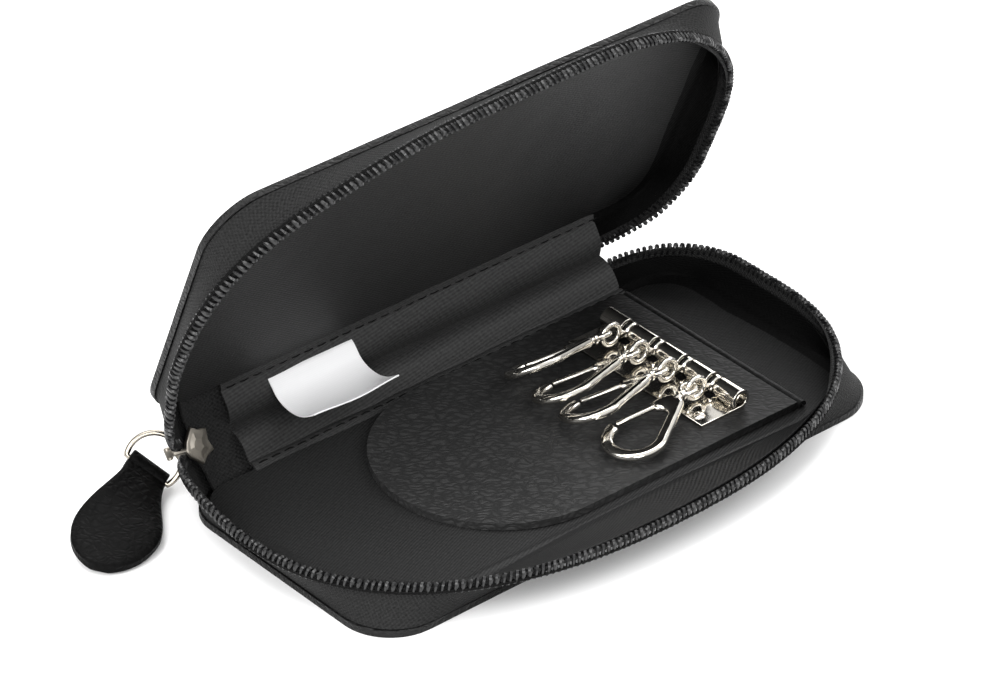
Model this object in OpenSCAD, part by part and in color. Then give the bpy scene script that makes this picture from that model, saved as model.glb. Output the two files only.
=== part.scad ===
// Zip-around key case standing open: two leather halves on a folding spine,
// a coil zip with slider, ring and leather pull, a woven label, and a leather
// tongue that carries a key rail with swivel links and snap clips.
// Half frames use x along the spine, u from the fold to the front, w inwards.

/* [Panels] */
// length of a leather panel along the spine
panel_l = 125; // [110:1:140]
// depth of a leather panel from the fold to its front edge
panel_d = 61; // [56:1:66]
// radius of the two front corners
front_r = 11; // [9:0.5:13]
// radius of the two rear corners
rear_r = 9; // [7:0.5:11]
// thickness of the leather skin
leather_t = 1.4; // [1.2:0.1:1.6]
// thickness of the card stiffener under the lining
board_t = 0.7; // [0.5:0.1:0.9]
// thickness of the lining cloth with its backing
lining_t = 0.6; // [0.4:0.1:0.8]

/* [Opening] */
// angle of the lid from lying flat behind the fold, in degrees
lid_lean = 112.7; // [105:0.1:120]

/* [Zip] */
// thickness of the shut case, outside to outside
closed_t = 17.8; // [17:0.2:19]
// how far the teeth line stands out past the leather at each side
row_side = 3.3; // [2.5:0.1:4.5]
// how far the teeth line stands out past the leather's front edge
row_front = 10.6; // [8:0.2:12]
// radius of the teeth line round the rear corners
row_r = 17; // [15:0.5:19]
// spacing of the drawn teeth, one for each pair of coil turns
tooth_pitch = 2.5; // [2:0.25:4]
// height of the teeth above the tape edge
tooth_h = 1.4; // [1:0.1:1.6]
// thickness of the woven tape
tape_t = 1; // [0.8:0.1:1.2]

/* [Tongue] */
// length of the tongue from its stitched end to its round tip
tongue_l = 77.5; // [70:0.5:82]
// width of the tongue
tongue_w = 50.4; // [46:0.2:52]
// thickness of the tongue, two leathers bonded
tongue_t = 1.6; // [1.4:0.1:2]

/* [Key rail] */
// length of the curled rail
rail_l = 38.1; // [37:0.1:40]
// outer diameter of the curled barrels
barrel_d = 4.2; // [4:0.1:4.6]
// width of each slot between two barrels
slot_w = 2.3; // [2.1:0.1:2.5]
// thickness of the rail sheet
sheet_t = 0.7; // [0.5:0.1:0.8]

/* [Clips] */
// reach of a clip from its swivel eye to its tip
clip_l = 23.5; // [22:0.5:25]
// width of the clip ring
clip_w = 13; // [12:0.5:14]
// thickness of the stamped clip ring
clip_t = 1.6; // [1.4:0.1:1.8]

/* [Zip pull] */
// outer diameter of the pull ring
ring_d = 11.6; // [11:0.2:13]
// length of the leather pull from the ring bar to its round end
pull_l = 29; // [26:0.5:31]
// width of the round end of the leather pull
pull_w = 16.8; // [14:0.2:18]

/* [Label] */
// width of the woven label
label_w = 20.5; // [16:0.5:24]
// thickness of the folded label
label_t = 0.45; // [0.35:0.05:0.6]

/* [Slider] */
// length of the slider's inner shield
slider_l = 8.6; // [8:0.1:9]
// width of the slider's inner shield
slider_w = 7.4; // [6.8:0.1:8]

/* [Fit] */
// running clearance between pieces that move on each other
clear = 0.3; // [0.25:0.01:0.35]

/* [Quality] */
// facets of round edges
$fn = 48; // [32:4:64]

/* [Hidden] */
// length that a cutting shape runs past what it cuts
overrun = clear;
fold_y = panel_d / 2;
fold_r = leather_t * 0.93;
spine_lean = lid_lean / 2;
spine_w = closed_t - 2 * fold_r;
floor_w = leather_t + board_t + lining_t;
row_w = closed_t / 2 - clear / 2;
tape_w = row_w - tooth_h;
rear_u = fold_r + clear;
board_in = leather_t * 1.6;
lining_in = leather_t * 2.6;
// centre of the polar tables of both edge lines
mid_u = panel_d * 0.49;
// side reach of the row, where its front curve starts, and its rear corner
row_a = panel_l / 2 + row_side;
row_d = panel_d + row_front;
row_u0 = row_d * 0.363;
row_rear_u = -panel_d * 0.01;
row_power = 2.35;
// half length of the spine between the two zip ends
spine_x = panel_l * 0.372;
wall_x = spine_x + 3 * clear;
web_share = 0.775;
web_end = 0.985;
wall_share = 0.99;
slider_share = 0.925;
wall_steps = 100;
web_steps = 14;
curve_steps = 12;

// points of the teeth line, from the middle of the front to the right rear end
row_pts = concat(
  [for (i = [0:2 * curve_steps])
    let (a = 90 * i / (2 * curve_steps))
    [row_a * pow(sin(a), 2 / row_power), row_u0 + (row_d - row_u0) * pow(cos(a), 2 / row_power)]],
  [for (i = [1:curve_steps])
    [row_a, row_u0 + (row_rear_u + row_r - row_u0) * i / curve_steps]],
  [for (i = [1:curve_steps])
    let (a = 90 * i / curve_steps)
    [row_a - row_r * (1 - cos(a)), row_rear_u + row_r * (1 - sin(a))]],
  [[wall_x * 0.9, row_rear_u]]);

// points of the leather edge, from the middle of the front to the rear
edge_pts = concat(
  [for (i = [0:curve_steps])
    [(panel_l / 2 - front_r) * i / curve_steps, panel_d]],
  [for (i = [1:curve_steps])
    let (a = 90 * i / curve_steps)
    [panel_l / 2 - front_r * (1 - sin(a)), panel_d - front_r * (1 - cos(a))]],
  [for (i = [1:curve_steps])
    [panel_l / 2, panel_d - front_r + (rear_u + rear_r + front_r - panel_d) * i / curve_steps]],
  [for (i = [1:curve_steps])
    let (a = 90 * i / curve_steps)
    [panel_l / 2 - rear_r * (1 - cos(a)), rear_u + rear_r * (1 - sin(a))]],
  [for (i = [1:curve_steps])
    [panel_l / 2 - rear_r - (panel_l / 2 - rear_r - wall_x * 0.8) * i / curve_steps, rear_u]]);

function turns(pts) = [for (p = pts) [atan2(p.x, p.y - mid_u), norm([p.x, p.y - mid_u])]];
row_tab = turns(row_pts);
edge_tab = turns(edge_pts);
row_end = atan2(wall_x, row_rear_u - mid_u);
edge_end = atan2(wall_x, rear_u - mid_u);

// a point at share s of the way round (-1 left rear, 1 right rear), moved in by e
function row_at(s, e) =
  let (a = s * row_end, r = lookup(abs(a), row_tab) - e)
  [r * sin(a), mid_u + r * cos(a)];
function edge_at(s, e) =
  let (a = s * edge_end, r = lookup(abs(a), edge_tab) - e)
  [r * sin(a), mid_u + r * cos(a)];
function smooth(t) = let (c = min(1, max(0, t))) c * c * (3 - 2 * c);

// the closed part of the zip lies in the middle plane between both halves;
// this gives the half-frame place of a point of that plane, e short of it
function middle_at(p, e) = [
  p.x,
  p.y * sin(spine_lean) - (spine_w / 2 - e) * cos(spine_lean),
  fold_r + (spine_w / 2 - e) * sin(spine_lean) + p.y * cos(spine_lean)];
function web_blend(s) = smooth((abs(s) - web_share) / (slider_share - web_share));
function web_top(s, in, drop) =
  let (p = row_at(s, in), k = web_blend(s))
  (1 - k) * [p.x, p.y, row_w - drop] + k * middle_at(p, clear / 2 + drop);

// a closed strip through a list of equal sections; two strips that lie face to
// face take opposite cross values, so that their triangles match
module strip(secs, cross = false) {
  n = len(secs);
  k = len(secs[0]);
  polyhedron(
    points = [for (s = secs) each s],
    faces = concat(
      [for (i = [1:k - 2]) [0, i + 1, i]],
      [for (i = [1:k - 2]) [(n - 1) * k, (n - 1) * k + i, (n - 1) * k + i + 1]],
      [for (j = [0:n - 2], i = [0:k - 1])
        let (a = j * k + i, b = j * k + (i + 1) % k)
        each cross ? [[a, b, a + k], [b, b + k, a + k]]
          : [[a, b, b + k], [a, b + k, a + k]]]));
}

module base_place() {
  translate([0, fold_y, 0]) mirror([0, 1, 0]) children();
}
module spine_place() {
  translate([0, fold_y, fold_r]) rotate([spine_lean, 0, 0]) children();
}
module lid_place() {
  spine_place() translate([0, spine_w, 0]) rotate([lid_lean - spine_lean, 0, 0])
    translate([0, 0, -fold_r]) children();
}

// outline of a panel moved in by e, as squares and corner circles
module panel_2d(e) {
  x = panel_l / 2 - e;
  fr = front_r - e;
  rr = rear_r - e;
  u0 = rear_u + e;
  u1 = panel_d - e;
  translate([-x, u0 + rr]) square([2 * x, u1 - fr - u0 - rr]);
  translate([-x + rr, u0]) square([2 * (x - rr), rr + overrun]);
  translate([-x + fr, u1 - fr - overrun]) square([2 * (x - fr), fr + overrun]);
  for (sx = [-1, 1]) {
    translate([sx * (x - rr), u0 + rr]) circle(r = rr);
    translate([sx * (x - fr), u1 - fr]) circle(r = fr);
  }
}
module panel_sheet(e, w0, t) {
  translate([0, 0, w0]) linear_extrude(height = t) panel_2d(e);
}

// shares of even steps along the teeth line
dense = 160;
dense_s = [for (i = [0:dense]) wall_share - (wall_share + web_share) * i / dense];
dense_len = [for (i = 0, d = 0; i <= dense; i = i + 1,
  d = i <= dense ? d + norm(row_at(dense_s[i], 0) - row_at(dense_s[i - 1], 0)) : d) d];
len_tab = [for (i = [0:dense]) [dense_len[i], dense_s[i]]];
row_len = dense_len[dense];
tooth_n = floor(row_len / tooth_pitch);
small_share = 0.004;
function wall_s(i) = lookup(row_len * i / wall_steps, len_tab);

// woven zip tape standing between the leather edge and the teeth
module tape_wall() {
  strip([for (i = [0:wall_steps])
    let (s = wall_s(i),
      a = edge_at(s, tape_t / 2), b = row_at(s, 0), c = row_at(s, tape_t),
      d = edge_at(s, tape_t * 1.7))
    [[a.x, a.y, leather_t], [b.x, b.y, tape_w], [c.x, c.y, tape_w], [d.x, d.y, leather_t]]]);
}
// a point of the tape's inner face at height w, moved in by e
function wall_in(s, w, e) =
  let (k = (w - leather_t) / (tape_w - leather_t),
    p = (1 - k) * edge_at(s, tape_t * 1.7 + e) + k * row_at(s, tape_t + e))
  [p.x, p.y, w];
// lining cloth up the inside of the tape
module lining_wall() {
  w0 = leather_t + board_t;
  w1 = tape_w - lining_t;
  e = tape_t * 0.3;
  strip([for (i = [0:wall_steps])
    let (s = wall_s(i))
    [wall_in(s, w0, e), wall_in(s, w1, e), wall_in(s, w1, e + lining_t),
     wall_in(s, w0, e + lining_t)]], true);
}
// soft corner of the tape that turns up to the closed part of the zip
module corner_wall() {
  strip([for (i = [0:web_steps])
    let (s = -web_share - (web_end - web_share) * i / web_steps,
      a = edge_at(s, tape_t / 2), d = edge_at(s, tape_t * 1.7))
    [[a.x, a.y, leather_t], web_top(s, 0, tooth_h + 2 * clear),
     web_top(s, tape_t, tooth_h + 2 * clear),
     [d.x, d.y, leather_t]]]);
}

tooth_share = 0.62;
// one tooth at p, its length square to the line from p to q
module tooth(p, q) {
  run = norm([q.x - p.x, q.y - p.y]);
  translate(p) rotate([0, 0, atan2(q.y - p.y, q.x - p.x)])
    rotate([0, -atan2(q.z - p.z, run), 0]) translate([0, 0, -tooth_h / 2])
      cube([tooth_pitch * tooth_share, tape_t * 2, tooth_h], center = true);
}
module teeth_row() {
  for (i = [0:tooth_n - 1]) {
    s = lookup((i + 0.5) * tooth_pitch, len_tab);
    p = row_at(s, tape_t / 2);
    q = row_at(s - small_share, tape_t / 2);
    tooth([p.x, p.y, row_w], [q.x, q.y, row_w]);
  }
}
// teeth between the flat row and the slider, rising with the soft corner
module rising_teeth() {
  n = 9;
  for (i = [0:n - 1]) {
    s = -web_share - (slider_share - web_share) * (i + 0.5) / n;
    tooth(web_top(s, tape_t / 2, 1.5 * clear), web_top(s - small_share, tape_t / 2, 1.5 * clear));
  }
}

module base_cover() {
  color([0.07, 0.07, 0.075]) base_place() panel_sheet(0, 0, leather_t);
}
module base_board() {
  color([0.3, 0.28, 0.25]) base_place() panel_sheet(board_in, leather_t, board_t);
}
module base_lining() {
  color([0.09, 0.09, 0.095]) base_place()
    panel_sheet(lining_in, leather_t + board_t, lining_t);
}
module base_side_lining() {
  color([0.09, 0.09, 0.095]) base_place() lining_wall();
}
module base_tape() {
  color([0.06, 0.06, 0.06]) base_place() tape_wall();
}
module base_teeth() {
  color([0.12, 0.12, 0.12]) base_place() teeth_row();
}
module base_corner() {
  color([0.06, 0.06, 0.06]) base_place() corner_wall();
}
module base_corner_teeth() {
  color([0.12, 0.12, 0.12]) base_place() rising_teeth();
}
module lid_cover() {
  color([0.07, 0.07, 0.075]) lid_place() panel_sheet(0, 0, leather_t);
}
module lid_board() {
  color([0.3, 0.28, 0.25]) lid_place() panel_sheet(board_in, leather_t, board_t);
}
module lid_lining() {
  color([0.09, 0.09, 0.095]) lid_place()
    panel_sheet(lining_in, leather_t + board_t, lining_t);
}
module lid_side_lining() {
  color([0.09, 0.09, 0.095]) lid_place() lining_wall();
}
module lid_tape() {
  color([0.06, 0.06, 0.06]) lid_place() tape_wall();
}
module lid_teeth() {
  color([0.12, 0.12, 0.12]) lid_place() teeth_row();
}
module lid_corner() {
  color([0.06, 0.06, 0.06]) lid_place() corner_wall();
}
module lid_corner_teeth() {
  color([0.12, 0.12, 0.12]) lid_place() rising_teeth();
}

// spine: y runs from the base fold to the lid fold, z inwards
spine_in = fold_r + clear;
pad_w = (spine_w - 2 * spine_in) / 2 - clear / 2;
pad_h = leather_t * 1.2;
module spine_cover() {
  color([0.07, 0.07, 0.075]) spine_place() {
    translate([-spine_x, spine_in, -fold_r])
      cube([2 * spine_x, spine_w - 2 * spine_in, leather_t]);
  }
}
module spine_folds() {
  color([0.06, 0.06, 0.065]) spine_place() {
    for (y = [0, spine_w])
      translate([-spine_x, y, 0]) rotate([0, 90, 0]) cylinder(r = fold_r, h = 2 * spine_x);
  }
}
// one soft band of the spine lining, a low arch in section
module soft_band() {
  arch_r = (pad_w * pad_w / 4 + pad_h * pad_h) / (2 * pad_h);
  rotate([90, 0, 90]) linear_extrude(height = 2 * spine_x) intersection() {
    translate([pad_w / 2, pad_h - arch_r]) circle(r = arch_r, $fn = 64);
    square([pad_w, pad_h]);
  }
}
module spine_lining() {
  color([0.1, 0.1, 0.105]) spine_place() {
    translate([-spine_x, spine_in, leather_t - fold_r]) soft_band();
    translate([-spine_x, spine_w - spine_in - pad_w, leather_t - fold_r]) soft_band();
  }
}

// woven label sewn in at the lid seam, curling out over the spine
label_x = -panel_l * 0.206;
label_path = [
  [spine_w * 0.93, leather_t * 0.75], [spine_w * 0.905, leather_t * 1.5],
  [spine_w * 0.868, leather_t * 2.1], [spine_w * 0.763, leather_t * 2.36],
  [spine_w * 0.652, leather_t * 2.5], [spine_w * 0.54, leather_t * 3.07],
  [spine_w * 0.434, leather_t * 4.15], [spine_w * 0.349, leather_t * 5.6],
  [spine_w * 0.306, leather_t * 7.15], [spine_w * 0.296, leather_t * 8.7],
  [spine_w * 0.297, leather_t * 10.1]];
function path_side(path, i) =
  let (a = path[max(0, i - 1)], b = path[min(len(path) - 1, i + 1)], d = (b - a) / norm(b - a))
  [-d.y, d.x];
module label() {
  n = len(label_path);
  color([0.95, 0.95, 0.96]) spine_place()
    translate([label_x - label_w / 2, 0, 0]) rotate([90, 0, 90])
      linear_extrude(height = label_w)
        polygon(concat(
          [for (i = [0:n - 1]) label_path[i] + path_side(label_path, i) * label_t / 2],
          [for (i = [n - 1:-1:0]) label_path[i] - path_side(label_path, i) * label_t / 2]));
}

// closed stretch of the zip round the left rear corner, in the middle plane
chain_x = -(row_a - row_r);
chain_v = row_rear_u + row_r;
chain_r = row_r - tape_t / 2;
chain_from = 81;
chain_n = 2;
chain_end = -spine_x - clear;
module closed_chain() {
  step = (90 - chain_from) / chain_n * 1.4;
  color([0.12, 0.12, 0.12]) spine_place() {
    translate([chain_x, spine_w / 2, chain_v]) rotate([90, 0, 0])
      for (i = [0:chain_n - 1]) rotate([0, 0, 180 + chain_from + (i + 0.3) * step])
        translate([chain_r, 0, 0])
          cube([tape_t * 2, tooth_pitch * tooth_share, tooth_h * 1.8], center = true);
  }
}
module chain_cord() {
  color([0.06, 0.06, 0.06]) spine_place() {
    translate([chain_x, spine_w / 2, chain_v]) rotate([90, 0, 0])
      rotate([0, 0, 180 + chain_from]) rotate_extrude(angle = 90 - chain_from)
        translate([chain_r, 0]) circle(r = tape_t * 0.7, $fn = 16);
    translate([chain_x, spine_w / 2, chain_v - chain_r]) rotate([0, 90, 0])
      cylinder(r = tape_t * 0.7, h = chain_end - chain_x, $fn = 16);
  }
}

// slider: turned with its middle at this angle of the corner arc
slider_turn = 64;
slider_t = slider_l * 0.075;
gap_in = slider_l * 0.17;
gap_out = slider_l * 0.12;
nose_r = slider_l * 0.08;
lug_w = slider_l * 0.17;
lug_out = slider_l * 0.6;
lug_r = slider_l * 0.145;
hole_r = ring_d * 0.062;
// x outwards from the case, y along the zip to its open side, z to the base
module slider_place() {
  spine_place() translate([chain_x, spine_w / 2, chain_v]) rotate([90, 0, 0])
    rotate([0, 0, 180 + slider_turn]) translate([chain_r, 0, 0]) mirror([0, 1, 0])
      children();
}
// a shield, its point to the open side
module shield_2d() {
  polygon([
    [-slider_l * 0.47, -slider_w * 0.3], [-slider_l * 0.38, 0], [-slider_l * 0.47, slider_w * 0.3],
    [-slider_l * 0.14, slider_w * 0.37], [slider_l * 0.09, slider_w * 0.5],
    [slider_l * 0.46, slider_w * 0.19], [slider_l * 0.53, 0],
    [slider_l * 0.46, -slider_w * 0.19], [slider_l * 0.09, -slider_w * 0.5],
    [-slider_l * 0.14, -slider_w * 0.37]]);
}
module plate(x, t) {
  translate([x, 0, 0]) rotate([90, 0, 90]) linear_extrude(height = t) children();
}
module slider() {
  color([0.78, 0.77, 0.74]) slider_place() {
    plate(-gap_in - slider_t, slider_t) shield_2d();
    plate(-gap_in - 1.5 * slider_t, slider_t) scale(0.72) shield_2d();
    plate(gap_out, slider_t) scale(0.8) shield_2d();
    translate([-gap_in - slider_t / 2, slider_l * 0.36, 0]) rotate([0, 90, 0])
      cylinder(r = nose_r, h = gap_in + gap_out + slider_t);
    difference() {
      union() {
        translate([gap_out + slider_t / 2, -lug_w / 2, -lug_w / 2])
          cube([lug_out - gap_out - slider_t / 2, lug_w, lug_w]);
        translate([ring_hook, 0, -lug_w / 2]) cylinder(r = lug_r, h = lug_w);
        translate([lug_out, 0, -lug_w * 0.85]) cylinder(r = lug_w * 0.45, h = lug_w * 1.7);
      }
      translate([ring_hook, 0, -lug_w]) cylinder(r = hole_r, h = 2 * lug_w);
    }
  }
}

// pull ring: an arc closed by a straight bar, lying across the zip
ring_wire = ring_d * 0.05;
ring_hook = gap_out + slider_t + hole_r;
ring_r = ring_d / 2 - ring_wire;
ring_turn = 32;
// how far the ring swings in its lug as it lies at rest, in degrees
ring_rest = 32;
bar_half_turn = 65.7;
bar_reach = ring_r * cos(bar_half_turn);
bar_half = ring_r * sin(bar_half_turn);
module ring_place() {
  slider_place() translate([ring_hook, 0, 0]) rotate([0, 0, ring_rest])
    translate([ring_r, 0, 0]) rotate([0, -ring_turn, 0]) children();
}
module pull_ring() {
  color([0.8, 0.79, 0.76]) ring_place() rotate([90, 0, 0]) {
    rotate([0, 0, bar_half_turn]) rotate_extrude(angle = 360 - 2 * bar_half_turn)
      translate([ring_r, 0]) circle(r = ring_wire, $fn = 24);
    translate([bar_reach, -bar_half, 0]) rotate([-90, 0, 0])
      cylinder(r = ring_wire, h = 2 * bar_half, $fn = 24);
    for (y = [-1, 1]) translate([bar_reach, y * bar_half, 0])
      sphere(r = ring_wire * 1.08, $fn = 24);
  }
}

// place in the part frame of a point given in the slider frame
function from_slider(p) =
  let (a = 180 + slider_turn, r = chain_r + p.x,
    x = chain_x + r * cos(a) + p.y * sin(a),
    v = chain_v + r * sin(a) - p.y * cos(a), y = spine_w / 2 - p.z)
  [x, fold_y + y * cos(spine_lean) - v * sin(spine_lean),
   fold_r + y * sin(spine_lean) + v * cos(spine_lean)];
// the same for a point x, z in the ring's plane, from the ring's middle
function from_ring(x, z) =
  let (r = ring_r + x * cos(ring_turn) - z * sin(ring_turn))
  from_slider([ring_hook + r * cos(ring_rest), r * sin(ring_rest),
    x * sin(ring_turn) + z * cos(ring_turn)]);
bar_mid = from_ring(bar_reach, 0);
bar_end = from_ring(bar_reach, 1);
bar_dir = bar_end - bar_mid;

// leather pull: sections that turn from the ring bar to lie on the table
pull_t = leather_t * 1.6;
pull_steps = 14;
loop_in = ring_wire * 1.2;
loop_out = pull_t * 0.8;
pull_dir = [-0.821, -0.561, -0.093] / norm([-0.821, -0.561, -0.093]);
flat_dir = [0.482, -0.876, -0.12] / norm([0.482, -0.876, -0.12]);
function pull_half(t) = t < 0.6
  ? pull_w * (0.26 + 0.24 * smooth(t / 0.62))
  : pull_w / 2 * sqrt(max(0.03, 1 - pow((t - 0.6) / 0.41, 2)));
function pull_side(t) =
  let (k = smooth(t / 0.7), d = (1 - k) * bar_dir + k * flat_dir, e = d - (d * pull_dir) * pull_dir)
  e / norm(e);
function pull_section(t) =
  let (c = bar_mid + pull_dir * (loop_out * 0.9 + t * (pull_l - loop_out)), s = pull_side(t),
    n = cross(pull_dir, s), h = pull_half(t), k = pull_t / 2, m = h - pull_t * 0.3)
  [c - h * s, c - m * s + k * n, c + m * s + k * n, c + h * s, c + m * s - k * n,
   c - m * s - k * n];
module leather_pull() {
  color([0.07, 0.07, 0.075]) strip([for (i = [0:pull_steps]) pull_section(i / pull_steps)]);
}
module pull_loop() {
  color([0.07, 0.07, 0.075]) ring_place() rotate([90, 0, 0])
    translate([bar_reach, -bar_half * 0.86, 0]) rotate([-90, 0, 0]) difference() {
      cylinder(r = loop_out, h = 2 * bar_half * 0.86);
      translate([0, 0, -overrun])
        cylinder(r = loop_in, h = 2 * bar_half * 0.86 + 2 * overrun);
    }
}

// tongue, sewn down at its right end
seam_x = panel_l * 0.3545;
tongue_u = panel_d * 0.49;
tongue_z = floor_w;
module tongue() {
  tip_r = tongue_w / 2;
  color([0.08, 0.08, 0.085]) translate([seam_x, fold_y - tongue_u, tongue_z])
    linear_extrude(height = tongue_t) {
      translate([tip_r - tongue_l, 0]) circle(r = tip_r, $fn = 96);
      translate([tip_r - tongue_l, -tip_r]) square([tongue_l - tip_r, tongue_w]);
    }
}
module tongue_welt() {
  color([0.08, 0.08, 0.085])
    translate([seam_x + clear, fold_y - tongue_u - tongue_w / 2, tongue_z])
      cube([tongue_t * 1.3, tongue_w, tongue_t * 0.8]);
}

// key rail: sheet curled into five barrels with four slots
rail_n = 4;
barrel_r = barrel_d / 2;
rod_r = barrel_r * 0.52;
rod_clear = clear * 0.27;
rail_x = seam_x - barrel_d * 2.33;
rail_y = fold_y - panel_d * 0.507;
rail_z = tongue_z + tongue_t + barrel_r;
slot_pitch = (rail_l + slot_w) / (rail_n + 1);
barrel_l = slot_pitch - slot_w;
sheet_w = barrel_d * 2.9;
function slot_y(k) = rail_y + rail_l / 2 - k * slot_pitch + slot_w / 2;
module rail_plate() {
  color([0.77, 0.76, 0.73])
    translate([rail_x - sheet_w + barrel_r, rail_y - rail_l / 2, tongue_z + tongue_t]) {
      cube([sheet_w - 2 * barrel_r - clear, rail_l, sheet_t]);
      for (i = [0:rail_n]) translate([0, i * slot_pitch, 0])
        cube([sheet_w - barrel_r, barrel_l, sheet_t]);
    }
}
module rail_barrels() {
  color([0.8, 0.79, 0.76]) for (i = [0:rail_n])
    translate([rail_x, rail_y - rail_l / 2 + i * slot_pitch, rail_z]) rotate([-90, 0, 0])
      difference() {
        cylinder(r = barrel_r, h = barrel_l);
        translate([0, 0, -overrun]) cylinder(r = rod_r, h = barrel_l + 2 * overrun);
      }
}
module rail_rod() {
  in = barrel_l * 0.4;
  color([0.7, 0.69, 0.66]) translate([rail_x, rail_y - rail_l / 2 + in, rail_z])
    rotate([-90, 0, 0]) cylinder(r = rod_r, h = rail_l - 2 * in);
}
rivet_r = barrel_r * 0.62;
module rail_rivets() {
  color([0.74, 0.73, 0.7]) for (y = [0, 1])
    translate([rail_x - sheet_w + barrel_r * 1.9, rail_y - rail_l / 2 + slot_pitch * 0.36
        + y * (rail_l - slot_pitch * 0.72), tongue_z + tongue_t + sheet_t])
      cylinder(r = rivet_r, h = sheet_t * 0.5);
}

// swivel link: flat eye round the rod, neck, and a wire eye
link_wire = barrel_r * 0.262;
eye_wide = slot_w * 0.48;
eye_hole = rod_r + rod_clear;
eye_out = barrel_r * 0.95;
loop_r = barrel_r * 1.02;
link_l = barrel_r * 2.67;
link_rise = 17;
module link_place(k) {
  translate([rail_x, slot_y(k), rail_z]) rotate([0, link_rise, 0]) children();
}
module swivel_link(k) {
  color([0.8, 0.79, 0.76]) link_place(k) {
    difference() {
      union() {
        rotate([90, 0, 0]) cylinder(r = eye_out, h = eye_wide, center = true);
        translate([-link_l + loop_r, 0, 0]) rotate([0, 90, 0])
          cylinder(r = link_wire, h = link_l - loop_r - eye_hole, $fn = 24);
      }
      rotate([90, 0, 0]) cylinder(r = eye_hole, h = eye_wide + 2 * overrun, center = true);
    }
    translate([-link_l, 0, 0]) rotate([90, 0, 0]) rotate_extrude()
      translate([loop_r, 0]) circle(r = link_wire, $fn = 24);
  }
}

// clips: tilt, dip and turn of each one as it lies at rest, in degrees
clip_tilt = [34, 25, 22, 3];
clip_dip = [2, -2.5, -3, -7];
clip_turn = [0, 0, 0, 12];
neck_r = clip_l * 0.064;
neck_wire = clip_l * 0.0213;
swivel_r = clip_l * 0.043;
head_x = clip_l * 0.13;
tip_r = clip_w / 2;
heel_r = clip_w * 0.154;
band = clip_w * 0.15;
tip_x = clip_l - tip_r;
heel_x = head_x + heel_r;
band_turn = asin((tip_r - heel_r) / (tip_x - heel_x));
hinge_x = heel_x + heel_r * 0.75;
hinge_y = clip_w * 0.145;
gate_r = clip_t * 0.31;
pin_r = clip_t * 0.25;
cheek = clip_t * 0.2;
gate_l = clip_l * 0.42;
function link_eye(k) = [
  rail_x - (link_l + loop_r) * cos(link_rise), slot_y(k), rail_z + (link_l + loop_r) * sin(link_rise)];
module clip_place(k) {
  translate(link_eye(k)) rotate([0, 0, clip_turn[k - 1]]) rotate([0, clip_dip[k - 1], 0])
    rotate([-clip_tilt[k - 1], 0, 0]) children();
}
// two circles joined by their common tangents, the tip one of radius a
module drop_2d(a, xa, b, xb) {
  t = asin((a - b) / (xa - xb));
  translate([-xa, 0]) circle(r = a, $fn = 64);
  translate([-xb, 0]) circle(r = b);
  polygon([
    [-xa + a * sin(t), a * cos(t)], [-xb + b * sin(t), b * cos(t)],
    [-xb + b * sin(t), -b * cos(t)], [-xa + a * sin(t), -a * cos(t)]]);
}
module snap_clip(k) {
  color([0.82, 0.81, 0.78]) clip_place(k) {
    rotate_extrude() translate([neck_r, 0]) circle(r = neck_wire, $fn = 24);
    translate([-head_x - heel_r * 0.5, 0, 0]) rotate([0, 90, 0])
      cylinder(r = swivel_r, h = head_x + heel_r * 0.5 - neck_r - neck_wire * 0.5);
    difference() {
      translate([0, 0, -clip_t / 2]) linear_extrude(height = clip_t) difference() {
        drop_2d(tip_r, tip_x, heel_r, heel_x);
        drop_2d(tip_r - band, tip_x, heel_r * 0.45, heel_x + heel_r * 0.95);
      }
      translate([-hinge_x, hinge_y, 0]) rotate([0, 0, 180 - band_turn])
        translate([band * 0.72, -band * 1.3, -clip_t])
          cube([gate_l - band * 0.72, band * 2.6, 2 * clip_t]);
      translate([-hinge_x, hinge_y, 0])
        cylinder(r = band * 0.72, h = clip_t - 2 * cheek, center = true);
      translate([-hinge_x, hinge_y, 0]) rotate([0, 0, 180 - band_turn])
        translate([0, -band * 0.72, cheek - clip_t / 2])
          cube([band, band * 1.44, clip_t - 2 * cheek]);
      translate([-hinge_x, hinge_y, 0]) rotate([0, 0, 180])
        translate([0, -band * 0.72, cheek - clip_t / 2])
          cube([band * 0.72, band * 1.44, clip_t - 2 * cheek]);
    }
    translate([-hinge_x, hinge_y, 0]) cylinder(r = pin_r, h = clip_t * 0.9, center = true, $fn = 24);
  }
}
module snap_gate(k) {
  color([0.8, 0.79, 0.76]) clip_place(k) translate([-hinge_x, hinge_y, 0])
    rotate([0, 0, 180 - band_turn]) difference() {
      union() {
        cylinder(r = band * 0.5, h = clip_t - 2.5 * cheek, center = true);
        rotate([0, 90, 0]) cylinder(r = gate_r, h = gate_l - clear, $fn = 24);
      }
      cylinder(r = pin_r + rod_clear, h = clip_t, center = true, $fn = 24);
    }
}

// piece to draw, or all
base_cover();
base_board();
base_lining();
base_side_lining();
base_tape();
base_teeth();
base_corner();
base_corner_teeth();
lid_cover();
lid_board();
lid_lining();
lid_side_lining();
lid_tape();
lid_teeth();
lid_corner();
lid_corner_teeth();
spine_cover();
spine_folds();
spine_lining();
label();
closed_chain();
chain_cord();
slider();
pull_ring();
leather_pull();
pull_loop();
tongue();
tongue_welt();
rail_plate();
rail_barrels();
rail_rod();
rail_rivets();
swivel_link(1);  // link_1
swivel_link(2);  // link_2
swivel_link(3);  // link_3
swivel_link(4);  // link_4
snap_clip(1);  // clip_1
snap_clip(2);  // clip_2
snap_clip(3);  // clip_3
snap_clip(4);  // clip_4
snap_gate(1);  // gate_1
snap_gate(2);  // gate_2
snap_gate(3);  // gate_3
snap_gate(4);  // gate_4
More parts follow.
